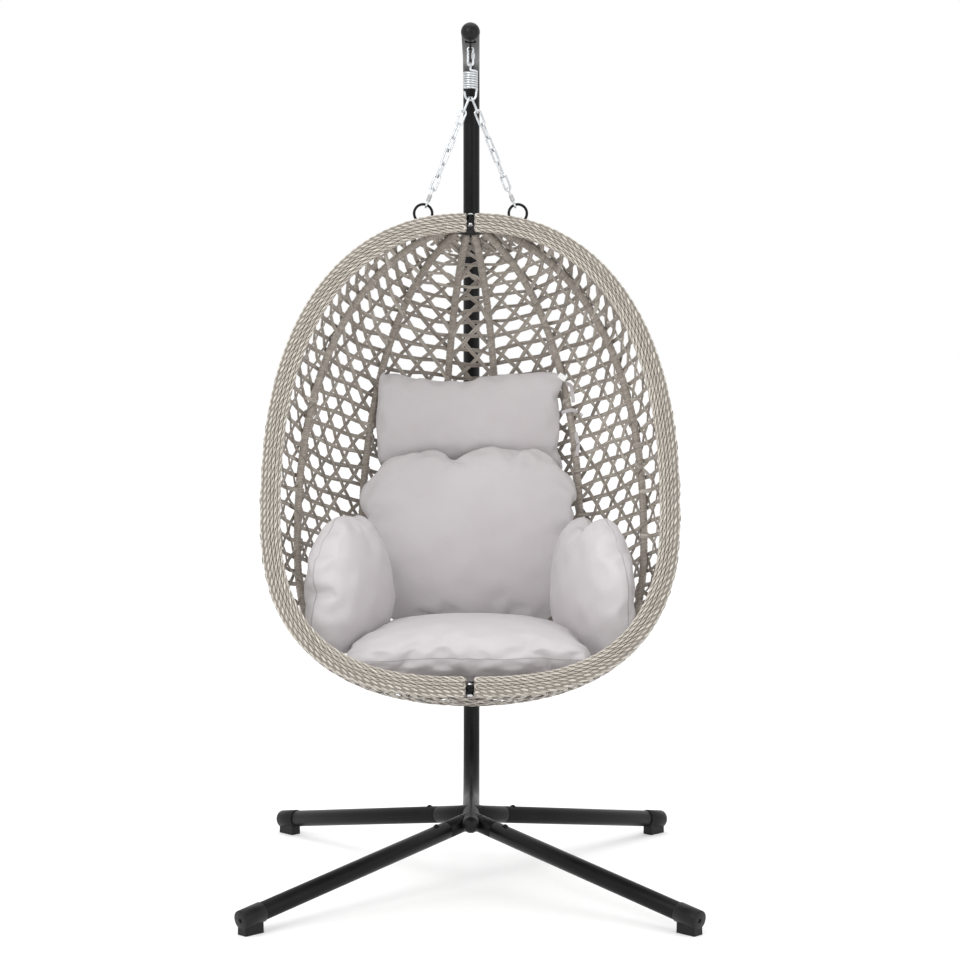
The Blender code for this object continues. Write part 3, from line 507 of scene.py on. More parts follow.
def round_rod(strands, path, radius, side, sides=24, chamfer=0.0006, closed=False, tint=0.5):
    if closed:
        strands.add(path, side, oval(radius, radius, sides), True, tint)
        return
    path, radii = rounded_ends(path, radius, chamfer)
    strands.add(path, side, oval(1, 1, sides)[None] * radii[:, None, None], False, tint)


def arc(centre, radius, start, end, steps, first, second):
    angles = np.linspace(start, end, steps + 1)
    centre, first, second = (np.array(v, float) for v in (centre, first, second))
    return centre + radius * (np.cos(angles)[:, None] * first + np.sin(angles)[:, None] * second)


def turned(strands, profile, origin, axis, sides=32):
    """A turned piece: profile is (distance along the axis, radius)."""
    origin, axis = np.array(origin, float), np.array(axis, float)
    side = np.array((1.0, 0, 0)) if abs(axis[0]) < 0.9 else np.array((0, 0, 1.0))
    across = unit(np.cross(side, axis))
    up = np.cross(axis, across)
    profile = np.array(profile, float)
    section = oval(1, 1, sides)[None] * profile[:, 1][:, None, None]
    points = (origin + axis * profile[:, :1])[:, None]
    points = points + across * section[..., :1] + up * section[..., 1:]
    strands.shell(points, np.zeros(points.shape))


# ---------------------------------------------------------------- stand
def on_leg(side, front, run_length):
    start = Vector((0.0, HUB_Y if front else HUB_Y + REAR_LEG_OFFSET, HUB_Z))
    run = Vector((side * sqrt(0.5), -sqrt(0.5) if front else sqrt(0.5), 0.0))
    return start + run * run_length - Z_AXIS * (LEG_SLOPE * run_length)


def leg_direction(side, front):
    return (on_leg(side, front, 1.0) - on_leg(side, front, 0.0)).normalized()


def leg_name(side, front):
    return ("front" if front else "rear") + ("_left" if side < 0 else "_right")


LEGS = [(-1, True), (1, True), (-1, False), (1, False)]
TUBE_SIDES = 40
TUBE_CHAMFER = 0.0008
WELD_START, WELD_END = 0.0275, 0.0310
WELD_HEIGHT = 0.0006
SCREW_SHANK_R = 0.0021
SCREW_HEAD_R = 0.0050
SCREW_HEAD_HEIGHT = 0.0030
HUB_CAP_RIM = [(0.022, 0.0154), (-GAP, 0.0154), (-GAP, TUBE_R), (-0.0028, 0.0200)]
ARM_CAP_RIM = [(0.022, 0.0178), (-GAP, 0.0178), (-GAP, 0.0204), (-0.0012, 0.0209), (-0.005, 0.0210)]
LUG_END_R = 0.0095
LUG_HOLE_R = 0.0048
LUG_HOLE_DROP = 0.0085
LUG_ROOT = 0.013
LUG_HALF_PLATE = 0.0015
SADDLE_SIZE = (0.024, 0.017, 0.007)


def button_screw(node, point, outward):
    """A domed socket screw on its washer, whose head stands on a tube."""
    seat = TUBE_R + GAP
    radius, height = SCREW_HEAD_R, SCREW_HEAD_HEIGHT
    washer_r = radius * 1.45
    profile = [(0.014, SCREW_SHANK_R), (seat - 0.0004, SCREW_SHANK_R), (seat - 0.0004, washer_r),
               (seat + 0.0003, washer_r), (seat + 0.0005, radius),
               (seat + 0.45 * height, radius * 0.97), (seat + 0.8 * height, 0.78 * radius),
               (seat + height, 0.56 * radius), (seat + height - 0.0002, 0.46 * radius),
               (seat + 0.3 * height, 0.42 * radius)]
    screw = Strands()
    turned(screw, profile, point, outward, 24)
    screw.place(node + "_smooth", POWDER, "stand", "screw_steel", node)


def build_cap(node, end, rim, lip, radius, depth, steps):
    """A domed plug in a tube's end: shank and rim, then the dome."""
    angles = np.linspace(0.1, pi / 2 - 0.04, steps)
    dome = [(-lip - depth * sin(a), radius * cos(a)) for a in angles]
    cap = Strands()
    turned(cap, rim + dome, end, Y_AXIS, TUBE_SIDES)
    cap.place(node + "_smooth", PLASTIC, "stand", PLASTIC_SLOT, node)


def build_stand():
    back_y = HUB_Y + POLE_BACK
    pole_end = HUB_Y - POLE_END_OFFSET
    centre = (0.0, back_y - POLE_FOOT_BEND, HUB_Z + POLE_FOOT_BEND)
    bend = arc(centre, POLE_FOOT_BEND, -pi / 2, 0.0, 28, Y_AXIS, Z_AXIS)
    lower = Strands()
    path = np.concatenate([[(0, pole_end, HUB_Z)], bend, [(0, back_y, POLE_JOINT_Z)]])
    round_rod(lower, path, TUBE_R, X_AXIS, TUBE_SIDES, TUBE_CHAMFER)
    for side, front in LEGS:
        seam = FRONT_STUB if front else REAR_STUB
        stub = array([on_leg(side, front, 0.0), on_leg(side, front, seam)])
        round_rod(lower, stub, TUBE_R, X_AXIS, TUBE_SIDES, TUBE_CHAMFER)
        # the bead where the stub is welded to the pole
        weld = array([on_leg(side, front, WELD_START), on_leg(side, front, WELD_END)])
        round_rod(lower, weld, TUBE_R + WELD_HEIGHT, X_AXIS, TUBE_SIDES, 0.0016)
    lower.place("pole_lower_smooth", POWDER, "stand", COAT_SLOT, "pole_lower")

    tip_y = HUB_Y - ARM_TIP_OFFSET
    centre = (0.0, back_y - POLE_HEAD_BEND, ARM_Z - POLE_HEAD_BEND)
    bend = arc(centre, POLE_HEAD_BEND, 0.0, pi / 2, 24, Y_AXIS, Z_AXIS)
    upper = Strands()
    path = np.concatenate([[(0, back_y, POLE_JOINT_Z + GAP)], bend, [(0, tip_y, ARM_Z)]])
    round_rod(upper, path, TUBE_R, X_AXIS, TUBE_SIDES, TUBE_CHAMFER)
    upper.place("pole_upper_smooth", POWDER, "stand", COAT_SLOT, "pole_upper")
    build_lug()

    build_cap("hub_cap", (0, pole_end, HUB_Z), HUB_CAP_RIM, 0.0028, 0.0200, 0.0172, 12)
    build_cap("arm_cap", (0, tip_y, ARM_Z), ARM_CAP_RIM, 0.005, 0.0210, 0.0210, 14)
    button_screw("pole_bolt", (0, back_y, POLE_JOINT_Z + 0.5 * POLE_SPIGOT), Y_AXIS)
    for side, front in LEGS:
        build_leg(side, front)


def build_lug():
    """The welded saddle and drilled plate that the quick link hangs in."""
    underside = ARM_Z - TUBE_R
    hole_z = underside - LUG_HOLE_DROP
    outline = []
    for k in range(25):
        angle = -pi + pi * k / 24
        outline.append((LUG_END_R * cos(angle), LUG_END_R * sin(angle)))
    outline += [(LUG_END_R, LUG_ROOT), (-LUG_END_R, LUG_ROOT)]
    turns = [2 * pi * k / len(outline) - pi for k in range(len(outline))]
    drilled = [(LUG_HOLE_R * cos(turn), LUG_HOLE_R * sin(turn)) for turn in turns]
    built = bmesh.new()
    faces = []
    for x in (-LUG_HALF_PLATE, LUG_HALF_PLATE):
        outer, hole = ([built.verts.new((x, HANG_Y + a, hole_z + b)) for a, b in line]
                       for line in (outline, drilled))
        join_rings(built, outer, hole, x < 0)
        faces.append((outer, hole))
    join_rings(built, faces[0][0], faces[1][0])
    join_rings(built, faces[0][1], faces[1][1], True)
    for vert in bmesh.ops.create_cube(built, size=1.0)["verts"]:
        x, y, z = (part * size for part, size in zip(vert.co, SADDLE_SIZE))
        vert.co = Vector((x, HANG_Y + y, underside + 0.0015 + z))
    settle(soft_edged("arm_lug_plate", built, POWDER, 0.0005), "stand", COAT_SLOT)


def build_leg(side, front):
    name = leg_name(side, front)
    seam = FRONT_STUB if front else REAR_STUB
    leg = Strands()
    path = array([on_leg(side, front, seam + 2 * GAP), on_leg(side, front, LEG_REACH - 0.004)])
    round_rod(leg, path, TUBE_R, X_AXIS, TUBE_SIDES, 0.0009)
    leg.place(f"leg_{name}_smooth", POWDER, "stand", COAT_SLOT, "leg_" + name)
    direction = leg_direction(side, front)
    up = (Z_AXIS - direction * Z_AXIS.dot(direction)).normalized()
    button_screw("leg_screw_" + name, on_leg(side, front, seam + 0.5 * LEG_SPIGOT), up)

    length, radius = FOOT_CAP_LENGTH, FOOT_CAP_R
    profile = [(-length, TUBE_R + GAP), (-length, radius - 0.0007), (-length + 0.0008, radius),
               (-0.0026, radius), (-0.0010, radius - 0.0006), (0.0, radius - 0.0024),
               (0.0, 0.0052), (-0.0006, 0.0046), (-0.0028, 0.0044), (-0.0028, 0.0008)]
    cap = Strands()
    turned(cap, profile, on_leg(side, front, LEG_REACH), direction, TUBE_SIDES)
    cap.place(f"foot_cap_{name}_sleeve", PLASTIC, "stand", PLASTIC_SLOT, "foot_cap_" + name)
    build_foot_block(name, side, front)


def build_foot_block(name, side, front):
    """The block under a foot cap: flat sole, chamfered toe, soft edges."""
    run = Vector((side * sqrt(0.5), -sqrt(0.5) if front else sqrt(0.5), 0.0))
    across = Z_AXIS.cross(run)
    root = Vector((0.0, HUB_Y if front else HUB_Y + REAR_LEG_OFFSET, 0.0))
    outer, inner = LEG_REACH - 0.003, LEG_REACH - 0.053
    built = bmesh.new()
    rings = []
    for along, top in ((inner, 0.0285), (inner + 0.018, 0.0285), (outer - 0.006, 0.0265),
                       (outer, 0.024)):
        corners = ((-0.0140, 0.0), (0.0140, 0.0), (0.0132, top), (-0.0132, top))
        rings.append([built.verts.new(root + run * along + across * width + Z_AXIS * level)
                      for width, level in corners])
    for one, two in zip(rings, rings[1:]):
        join_rings(built, one, two)
    built.faces.new(rings[0])
    built.faces.new(rings[-1][::-1])
    block = soft_edged("foot_block_" + name, built, PLASTIC, 0.0016, 3, radians(35))
    settle(block, "stand", PLASTIC_SLOT)


# ---------------------------------------------------------------- hanging gear
SLEEVE_RAISE = 0.001
COIL_INSET = 0.001
COIL_STEPS = 36


def link_path(centre, along, across, length, width, wire_r, steps=16):
    """The closed centre line of an oblong link."""
    bend_r = 0.5 * width - wire_r
    straight = 0.5 * length - bend_r
    centre, along, across = (np.array(v, float) for v in (centre, along, across))
    one = arc(centre + along * straight, bend_r, 0.0, pi, steps, across, along)
    two = arc(centre - along * straight, bend_r, pi, 2 * pi, steps, across, along)
    return np.concatenate([one, two])


def quick_link(centre, along, across, side, length, width):
    """The strand of a quick link's wire."""
    link = Strands()
    path = link_path(centre, along, across, length, width, QUICK_WIRE_R)
    round_rod(link, path, QUICK_WIRE_R, side, 20, closed=True)
    return link


def sleeve_nut(centre, along, radius, length):
    """A hexagonal threaded sleeve with chamfered ends and a lock slot."""
    half = 0.5 * length
    slot_r = radius * 0.93
    profile = [(-half, radius * 0.62), (-half, radius * 0.86), (-half + 0.0009, radius),
               (-0.0007, radius), (-0.0003, slot_r), (0.0003, slot_r), (0.0007, radius),
               (half - 0.0009, radius), (half, radius * 0.86), (half, radius * 0.62)]
    nut = Strands()
    turned(nut, profile, centre, along, 6)
    return nut


def build_spring():
    """The top quick link, and the spring with both its hooks in one wire."""
    centre = Vector((0, HANG_Y, TOP_LINK_Z - 0.5 * TOP_LINK_LENGTH))
    link = quick_link(centre, Z_AXIS, X_AXIS, Y_AXIS, TOP_LINK_LENGTH, TOP_LINK_WIDTH)
    link.place("quick_link_top_smooth", ZINC, "top_link", ZINC_SLOT, "quick_link_top")
    wire_line = centre + X_AXIS * (0.5 * TOP_LINK_WIDTH - QUICK_WIRE_R)
    nut = sleeve_nut(wire_line + Z_AXIS * SLEEVE_RAISE, Z_AXIS, 0.0042, 0.0125)
    nut.place("quick_link_top_sleeve", ZINC, "top_link", ZINC_SLOT)

    loop_z = HOOK_Z - HOOK_LOOP_R
    hook = arc((0, HANG_Y, loop_z), HOOK_LOOP_R, -0.35 * pi, pi, 30, Y_AXIS, Z_AXIS)
    lead = array([(0, HANG_Y - 0.0098, COIL_TOP_Z + 0.0062),
                  (0.0004, HANG_Y - 0.0122, COIL_TOP_Z + 0.0026)])
    turns = COIL_TURNS - 0.75
    share = np.linspace(0, 1, int(turns * COIL_STEPS) + 1)
    angle = 2 * pi * (share * turns - 0.25)
    drop = COIL_TURNS * COIL_PITCH - 0.005 + COIL_INSET
    height = COIL_TOP_Z - SPRING_WIRE_R + COIL_INSET - share * drop
    coil = np.stack([COIL_R * np.cos(angle), HANG_Y + COIL_R * np.sin(angle), height], -1)
    lead_out = array([(COIL_R - 0.0006, HANG_Y + 0.0012, COIL_BOTTOM_Z - 0.0012),
                      (J_HOOK_R + 0.0002, HANG_Y + 0.0004, COIL_BOTTOM_Z - 0.0065)])
    bow_z = J_HOOK_Z + J_HOOK_R
    bottom = arc((0, HANG_Y, bow_z), J_HOOK_R, 0.0, -pi, 26, X_AXIS, Z_AXIS)
    tip = array([(-J_HOOK_R - 0.0004, HANG_Y, bow_z + 0.004),
                 (-J_HOOK_R - 0.0010, HANG_Y, bow_z + 0.007)])
    path = resample(np.concatenate([hook, lead, coil, lead_out, bottom, tip]), 0.0022, 2)
    spring = Strands()
    normals = carried_normals(path, (1.0, 0.0, 0.0))
    path, radii = rounded_ends(path, SPRING_WIRE_R, 0.0006)
    normals = np.concatenate([normals[:1], normals[:1], normals, normals[-1:], normals[-1:]])
    spring.add(path, normals, oval(1, 1, 16)[None] * radii[:, None, None])
    wire = spring.build("spring_wire", ZINC)
    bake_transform(wire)
    settle(wire, None, ZINC_SLOT, "spring_hook_top", "spring_coil", "spring_hook_bottom")


def resample(path, step, smoothing=0):
    """Evenly spaced points along a polyline, lightly smoothed."""
    path = np.asarray(path, float)
    distance = np.concatenate([[0], np.cumsum(np.linalg.norm(np.diff(path, axis=0), axis=1))])
    places = np.linspace(0, distance[-1], max(2, int(round(distance[-1] / step)) + 1))
    out = np.stack([np.interp(places, distance, path[:, k]) for k in range(3)], -1)
    for _ in range(smoothing):
        out[1:-1] = 0.5 * out[1:-1] + 0.25 * (out[:-2] + out[2:])
    return out


def carried_normals(path, first):
    """Normals carried along a path without twist."""
    tangent = unit(np.gradient(path, axis=0))
    normals = [np.array(first, float)]
    for step in tangent[1:]:
        last = normals[-1]
        normals.append(unit(last - step * (last @ step)))
    return np.array(normals)


def chain_line(side):
    """Where a chain's line leaves the hook's wire, its direction, and its length to the ring."""
    hook_centre = Vector((0, HANG_Y, J_HOOK_Z + J_HOOK_R))
    span = Vector((side * RING_X, HANG_Y, RING_Z)) - hook_centre
    direction = span.normalized()
    return hook_centre + direction * J_HOOK_R, direction, span.length - J_HOOK_R


def build_chains():
    """Both chains: welded links, a quick link and a ring."""
    wire = 2 * LINK_WIRE_R + GAP
    hook_grip = SPRING_WIRE_R + LINK_WIRE_R + GAP + HOOK_PLAY
    end_grip = QUICK_WIRE_R + LINK_WIRE_R + GAP
    ring_grip = RING_WIRE_R + QUICK_WIRE_R + GAP
    twist = radians(90 - 90 / CHAIN_LINKS)
    for side, word in SIDES:
        start, along, span = chain_line(side)
        reach = span - RING_R + hook_grip + end_grip + ring_grip - END_LINK_LENGTH
        length = (reach + (CHAIN_LINKS - 1) * wire) / CHAIN_LINKS
        top = -hook_grip
        for k in range(CHAIN_LINKS):
            centre = start + along * (top + 0.5 * length)
            across = Matrix.Rotation(k * twist, 3, along) @ Y_AXIS
            level = across.cross(along)
            link = Strands()
            path = link_path(centre, along, across, length, CHAIN_LINK_WIDTH, LINK_WIRE_R)
            round_rod(link, path, LINK_WIRE_R, level, 18, closed=True)
            # the butt weld on one long side
            seat = centre - across * (0.5 * CHAIN_LINK_WIDTH - LINK_WIRE_R)
            weld = array([seat - along * 0.0016, seat + along * 0.0016])
            round_rod(link, weld, LINK_WIRE_R * 1.16, level, 18, 0.0010)
            name = f"chain_{word}_{k + 1}"
            link.place(name + "_smooth", ZINC, "chains", ZINC_SLOT, name)
            top += length - wire
        top += wire - end_grip
        centre = start + along * (top + 0.5 * END_LINK_LENGTH)
        name = "end_link_" + word
        link = quick_link(centre, along, Y_AXIS, Y_AXIS.cross(along), END_LINK_LENGTH, END_LINK_WIDTH)
        link.place(name + "_smooth", ZINC, "chains", ZINC_SLOT, name)
        wire_line = centre - Y_AXIS * (0.5 * END_LINK_WIDTH - QUICK_WIRE_R)
        nut = sleeve_nut(wire_line + along * SLEEVE_RAISE, along, 0.0046, 0.015)
        nut.place(name + "_sleeve", SLEEVE_STEEL, "chains", ZINC_SLOT)
        ring = Strands()
        place = (side * RING_X, HANG_Y, RING_Z)
        circle = arc(place, RING_R, 0.0, 2 * pi * 63 / 64, 63, X_AXIS, Z_AXIS)
        round_rod(ring, circle, RING_WIRE_R, Y_AXIS, 20, closed=True)
        ring.place(f"ring_{word}_smooth", POWDER, "chains", COAT_SLOT, "ring_" + word)


# ---------------------------------------------------------------- basket geometry
RING_FOOT = Vector((RING_X, HANG_Y, RING_Z)) + chain_line(1)[1] * RING_R
PIVOT = np.array((0.0, RING_FOOT.y, RING_FOOT.z))
EYE_X = RING_FOOT.x
BACK = np.array((0, cos(BASKET_TILT), -sin(BASKET_TILT)))
UP = np.array((0, sin(BASKET_TILT), cos(BASKET_TILT)))
EYE_FOOT_V = TUBE_RISE * (1 - (EYE_X / TUBE_HALF_WIDTH) ** RIM_TOP_POWER) ** (1 / RIM_TOP_POWER)
EYE_CENTRE_V = EYE_FOOT_V + EYE_RISE
WIDEST_V = -(EYE_CENTRE_V + EYE_SLACK)
RIB_RISE = TUBE_RISE - RIB_INSET
RIB_DROP = TUBE_DROP - RIB_INSET
DEPTH_RATIO = BASKET_DEPTH / TUBE_HALF_WIDTH


def basket_points(x, u, v):
    """World points from basket coordinates: x across, u behind the rim, v over its widest level."""
    x, u, v = np.broadcast_arrays(*(np.asarray(part, float) for part in (x, u, v)))
    across = x[..., None] * np.array((1.0, 0.0, 0.0))
    return PIVOT + across + (u - EYE_BACK)[..., None] * BACK + (v + WIDEST_V)[..., None] * UP


def egg(half_width, rise, drop, angle):
    """(x, v) on the egg outline: angle runs from 0 at the top to pi at the bottom."""
    angle = np.asarray(angle, float)
    above = angle <= pi / 2
    power = np.where(above, RIM_TOP_POWER, RIM_BOTTOM_POWER)
    level = np.abs(np.cos(angle)) ** (2 / power) * np.where(above, rise, -drop)
    return half_width * np.abs(np.sin(angle)) ** (2 / power), level


def outline_ends(width, half_width):
    """The outline's first and last angle, where it is as far from the middle as width."""
    share = width / half_width
    return asin(share ** (RIM_TOP_POWER / 2)), pi - asin(share ** (RIM_BOTTOM_POWER / 2))


def even_outline(half_width, rise, drop, end_width, step):
    """Evenly spaced (x, v) points down the egg outline, from end_width to end_width."""
    first, last = outline_ends(end_width, half_width)
    x, v = egg(half_width, rise, drop, np.linspace(first, last, 1200))
    flat = resample(np.stack([x, np.zeros_like(x), v], -1), step)
    return flat[:, 0], flat[:, 2]


# ---------------------------------------------------------------- rim
ROPE_ROWS = 12
ROPE_PITCH = 0.034
ROPE_HELIX_R = 0.00205
ROPE_STEPS = 11
PLY_HALF_WIDTH = 0.0022
PLY_HALF_HEIGHT = 0.0016
ROPE_INSET = 0.0040
BAND_OUTER_HALF_WIDTH = 0.448
TUBE_END_X = 0.0108
TONGUE_R = 0.007
TONGUE_REACH = 0.020
BAND_INSET = 0.5 * BAND_WIDTH - (BAND_OUTER_HALF_WIDTH - TUBE_HALF_WIDTH)


def band_section(angle):
    """Centre of a rope row on the band's section, inset by the rope's own thickness."""
    wide, deep = superellipse(angle, 0.85, 0.75)
    return (0.5 * BAND_WIDTH - ROPE_INSET) * wide, (BAND_HALF_DEPTH - ROPE_INSET) * deep


def even_section(rows):
    """Section points at equal distances round the band."""
    angles = np.linspace(0, 2 * pi, 721)
    wide, deep = band_section(angles)
    steps = np.hypot(np.diff(wide), np.diff(deep))
    distance = np.concatenate([[0], np.cumsum(steps)])
    places = (np.arange(rows) + 0.5) * distance[-1] / rows
    return np.interp(places, distance, wide), np.interp(places, distance, deep)


def build_rim(side, word):
    """One half of the rim's braid: twelve ropes in pairs that turn back at the hinges."""
    x, v = even_outline(TUBE_HALF_WIDTH, TUBE_RISE, TUBE_DROP, BAND_END_X, 0.006)
    line = basket_points(side * x, 0.0, v)
    tangent = unit(np.gradient(line, axis=0))
    inward = np.cross(BACK, tangent) * side
    wide, deep = even_section(ROPE_ROWS)
    for row in range(0, ROPE_ROWS, 2):
        if row % (ROPE_ROWS // 2) == 0:
            ropes = Strands()
        lanes = []
        outs = []
        for k in (row, row + 1):
            lanes.append(line + inward * (wide[k] + BAND_INSET) + BACK * deep[k])
            away = unit(np.array([wide[k] * 0.6, deep[k] * 1.6]))
            outs.append(inward * away[0] + BACK * away[1])
        turn_r = 0.5 * np.linalg.norm(lanes[0][0] - lanes[1][0])
        keep = slice(1, -1)
        one, two = lanes[0][keep], lanes[1][keep][::-1]
        end_arc = half_turn(one[-1], two[0], tangent[-1], turn_r)
        start_arc = half_turn(two[-1], one[0], -tangent[0], turn_r)
        path = np.concatenate([one, end_arc, two, start_arc])
        mean_out = unit(outs[0] + outs[1])
        normal = np.concatenate([outs[0][keep], np.repeat(mean_out[-1:], len(end_arc), 0),
                                 outs[1][keep][::-1], np.repeat(mean_out[:1], len(start_arc), 0)])
        twine(ropes, path, normal, random.uniform(0, 2 * pi))
        if row == ROPE_ROWS // 2 - 2:
            ropes.place(f"rim_rope_{word}_one", RIM_CANE, "basket", BAND_SLOT)
    ropes.place(f"rim_rope_{word}_two", RIM_CANE, "basket", BAND_SLOT, "rim_band_" + word)

    # the wound core under the ropes, and its sleeve round the tube; a real core lies there, but its
    # darker cane is painted shade that shows in the gaps between the stitches
    core = Strands()
    wide, deep = band_section(2 * pi * np.arange(16) / 16)
    section = np.stack([-side * (wide * 0.92 + BAND_INSET), deep * 0.80], -1)
    sleeve_r = RIM_TUBE_R + 0.0005
    core.add(line, -BACK, section[::side], tint=0.5)
    core.add(line, -BACK, oval(sleeve_r, sleeve_r, 20), tint=0.5)
    core.place(f"rim_core_{word}", SHADED_CORE_CANE, "basket", BAND_SLOT)


def half_turn(start, end, ahead, radius):
    """A half circle that leaves start, bulges ahead, and comes back at end."""
    middle_point = 0.5 * (start + end)
    half = 0.5 * (start - end)
    angles = np.linspace(0, pi, 8)[1:-1]
    return middle_point + np.cos(angles)[:, None] * half + np.sin(angles)[:, None] * ahead * radius


def twine(strands, path, normal, phase):
    """Two plies twisted right-handed round a closed path."""
    closed = np.concatenate([path, path[:1]])
    steps = np.linalg.norm(np.diff(closed, axis=0), axis=1)
    distance = np.concatenate([[0], np.cumsum(steps)])
    total = distance[-1]
    turns = max(1, round(total / ROPE_PITCH))
    count = turns * ROPE_STEPS
    places = np.arange(count) * total / count
    normals = np.concatenate([normal, normal[:1]])
    centre = np.stack([np.interp(places, distance, closed[:, k]) for k in range(3)], -1)
    out = unit(np.stack([np.interp(places, distance, normals[:, k]) for k in range(3)], -1))
    tangent = unit(np.roll(centre, -1, 0) - np.roll(centre, 1, 0))
    beside = unit(np.cross(tangent, out))
    out = np.cross(beside, tangent)
    section = oval(PLY_HALF_WIDTH, PLY_HALF_HEIGHT, 7)
    for ply in (0.0, pi):
        angle = 2 * pi * turns * places / total + phase + ply
        radial = np.cos(angle)[:, None] * out + np.sin(angle)[:, None] * beside
        strands.add(centre + radial * ROPE_HELIX_R, radial, section, True,
                    random.uniform(0.25, 0.85), random.uniform(0, 50))


def build_rim_ironwork():
    """Rim tubes with their ring eyes and hinge tongues, the hinge plates and their bolts."""
    for side, word in SIDES:
        iron = Strands()
        x, v = even_outline(TUBE_HALF_WIDTH, TUBE_RISE, TUBE_DROP, TUBE_END_X, 0.012)
        round_rod(iron, basket_points(side * x, 0.0, v), RIM_TUBE_R, BACK, 20, 0.0008)
        place = basket_points(side * EYE_X, EYE_BACK, EYE_CENTRE_V)
        eye = arc(place, EYE_R, 0, 2 * pi * 35 / 36, 35, BACK, UP)
        round_rod(iron, eye, EYE_WIRE_R, X_AXIS, 16, closed=True)
        iron.place(f"rim_tube_{word}_smooth", POWDER, "basket", COAT_SLOT, "rim_tube_" + word)
        for top in (True, False):
            level = TUBE_RISE if top else -TUBE_DROP
            layer = 1 if (side < 0) == top else -1
            low = level + 0.5 * GAP if layer > 0 else level - 0.5 * GAP - LUG_THICKNESS
            outline = [(side * TONGUE_REACH, -TONGUE_R), (side * TONGUE_REACH, TONGUE_R)]
            outline += [(-side * TONGUE_R * sin(a), TONGUE_R * cos(a)) for a in np.linspace(0, pi, 17)]
            slab(f"rim_lug_{'top' if top else 'bottom'}_{word}", outline, low, LUG_THICKNESS, POWDER)
    outer_face = 0.5 * GAP + LUG_THICKNESS + GAP
    inner_face = outer_face + HUB_PLATE_THICKNESS + GAP
    for top, word in ((True, "top"), (False, "bottom")):
        level, inward = (TUBE_RISE, -1) if top else (-TUBE_DROP, 1)
        near = level + inward * outer_face
        low = min(near, near + inward * HUB_PLATE_THICKNESS)
        front = BAND_HALF_DEPTH + 0.0015
        first = asin(front / (PLATE_WIDTH * DEPTH_RATIO))
        outline = [(TONGUE_R, front), (TONGUE_R, -TONGUE_R), (-TONGUE_R, -TONGUE_R), (-TONGUE_R, front)]
        outline += [(PLATE_WIDTH * cos(a), PLATE_WIDTH * DEPTH_RATIO * sin(a))
                    for a in np.linspace(pi - first, first, 33)]
        plate = slab("rib_hub_plate_" + word, outline, low, HUB_PLATE_THICKNESS, POWDER)
        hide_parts("rib_hub_" + word)
        bolt = Strands()
        nut = [(-inner_face - 0.0042, 0.0012), (-inner_face - 0.0040, 0.0040),
               (-inner_face - 0.0032, 0.0058), (-inner_face, 0.0064), (-inner_face, BOLT_R)]
        head = [(outer_face, BOLT_R), (outer_face, 0.0068), (outer_face + 0.0016, 0.0066),
                (outer_face + 0.0030, 0.0052), (outer_face + 0.0036, 0.0028)]
        turned(bolt, nut + head, basket_points(0, 0, level), UP if top else -UP, 24)
        name = "hinge_bolt_" + word
        bolt.place(name + "_smooth", ZINC, "basket", ZINC_SLOT, name)


def slab(name, outline, low, thickness, finish):
    """A flat plate with soft edges, from an outline in the basket's level plane."""
    built = bmesh.new()
    bottom = [built.verts.new(basket_points(a, b, low)) for a, b in outline]
    top = [built.verts.new(basket_points(a, b, low + thickness)) for a, b in outline]
    join_rings(built, bottom, top)
    built.faces.new(bottom[::-1])
    built.faces.new(top)
    return settle(soft_edged(name, built, finish, 0.0008), "basket", COAT_SLOT)


# ---------------------------------------------------------------- ribs
WRAP_WIDTH = 0.0092
RIB_STEP = 0.0016
RIB_SIDES = 14


def build_rib(degrees, side, word, number):
    """A rib tube wrapped with flat cane: each turn overlaps the one before."""
    angle = radians(degrees)
    width, v = even_outline(TUBE_HALF_WIDTH, RIB_RISE, RIB_DROP, PLATE_WIDTH + 0.0012, RIB_STEP)
    path = basket_points(side * width * cos(angle), width * DEPTH_RATIO * sin(angle), v)
    normal = np.array((side * sin(angle), 0, 0)) - BACK * cos(angle)
    distance = np.arange(len(path)) * RIB_STEP
    turn = 2 * pi * (np.arange(RIB_SIDES) + 0.5) / RIB_SIDES
    phase = (distance[:, None] / WRAP_WIDTH - turn[None, :] / (2 * pi)) % 1.0
    swell = RIB_R - 0.0008 + 0.0013 * phase ** 0.6 - 0.0011 * np.clip((phase - 0.93) / 0.07, 0, 1)
    end = np.minimum(1.0, 0.62 + np.minimum(distance, distance[::-1]) / 0.03)
    section = oval(1, 1, RIB_SIDES)[None] * (swell * end[:, None])[..., None]
    wraps = Strands()
    wraps.add(path, normal, section, False, random.uniform(0.3, 0.7), random.uniform(0, 50))
    # streaks run round the rib with the wrap, so the strand coordinates turn with it
    wound = (distance[:, None] / WRAP_WIDTH - phase) * 0.05
    across = phase * WRAP_WIDTH
    wraps.strand[-1] = np.dstack([wound + turn[None, :] * RIB_R, across, across * 0]).reshape(-1, 3)
    name = f"{word}_{number}"
    wraps.place("rib_wrap_" + name, RIB_CANE, "basket", "wrapped_rib", "rib_" + name)


# ---------------------------------------------------------------- open cane weave
ROW_PITCH = 0.0365
HEX_PITCH = 0.0600
CANE_HALF_WIDTH = 0.0050
CANE_HALF_HEIGHT = 0.0008
CROSSING = 0.0011
WEAVE_PIECE_POINTS = 80000
WEAVE_FRONT = 0.0085
ROW_STEP = 0.006
DIAGONAL_STEP = 0.0045
TOP_CROSS_PITCH = 0.022
TOP_CROSS_SLOPE = 0.62
SKIN_WIDTH = TUBE_HALF_WIDTH + WEAVE_OFFSET
SKIN_DEPTH = BASKET_DEPTH + WEAVE_OFFSET
SKIN_RATIO = SKIN_DEPTH / SKIN_WIDTH


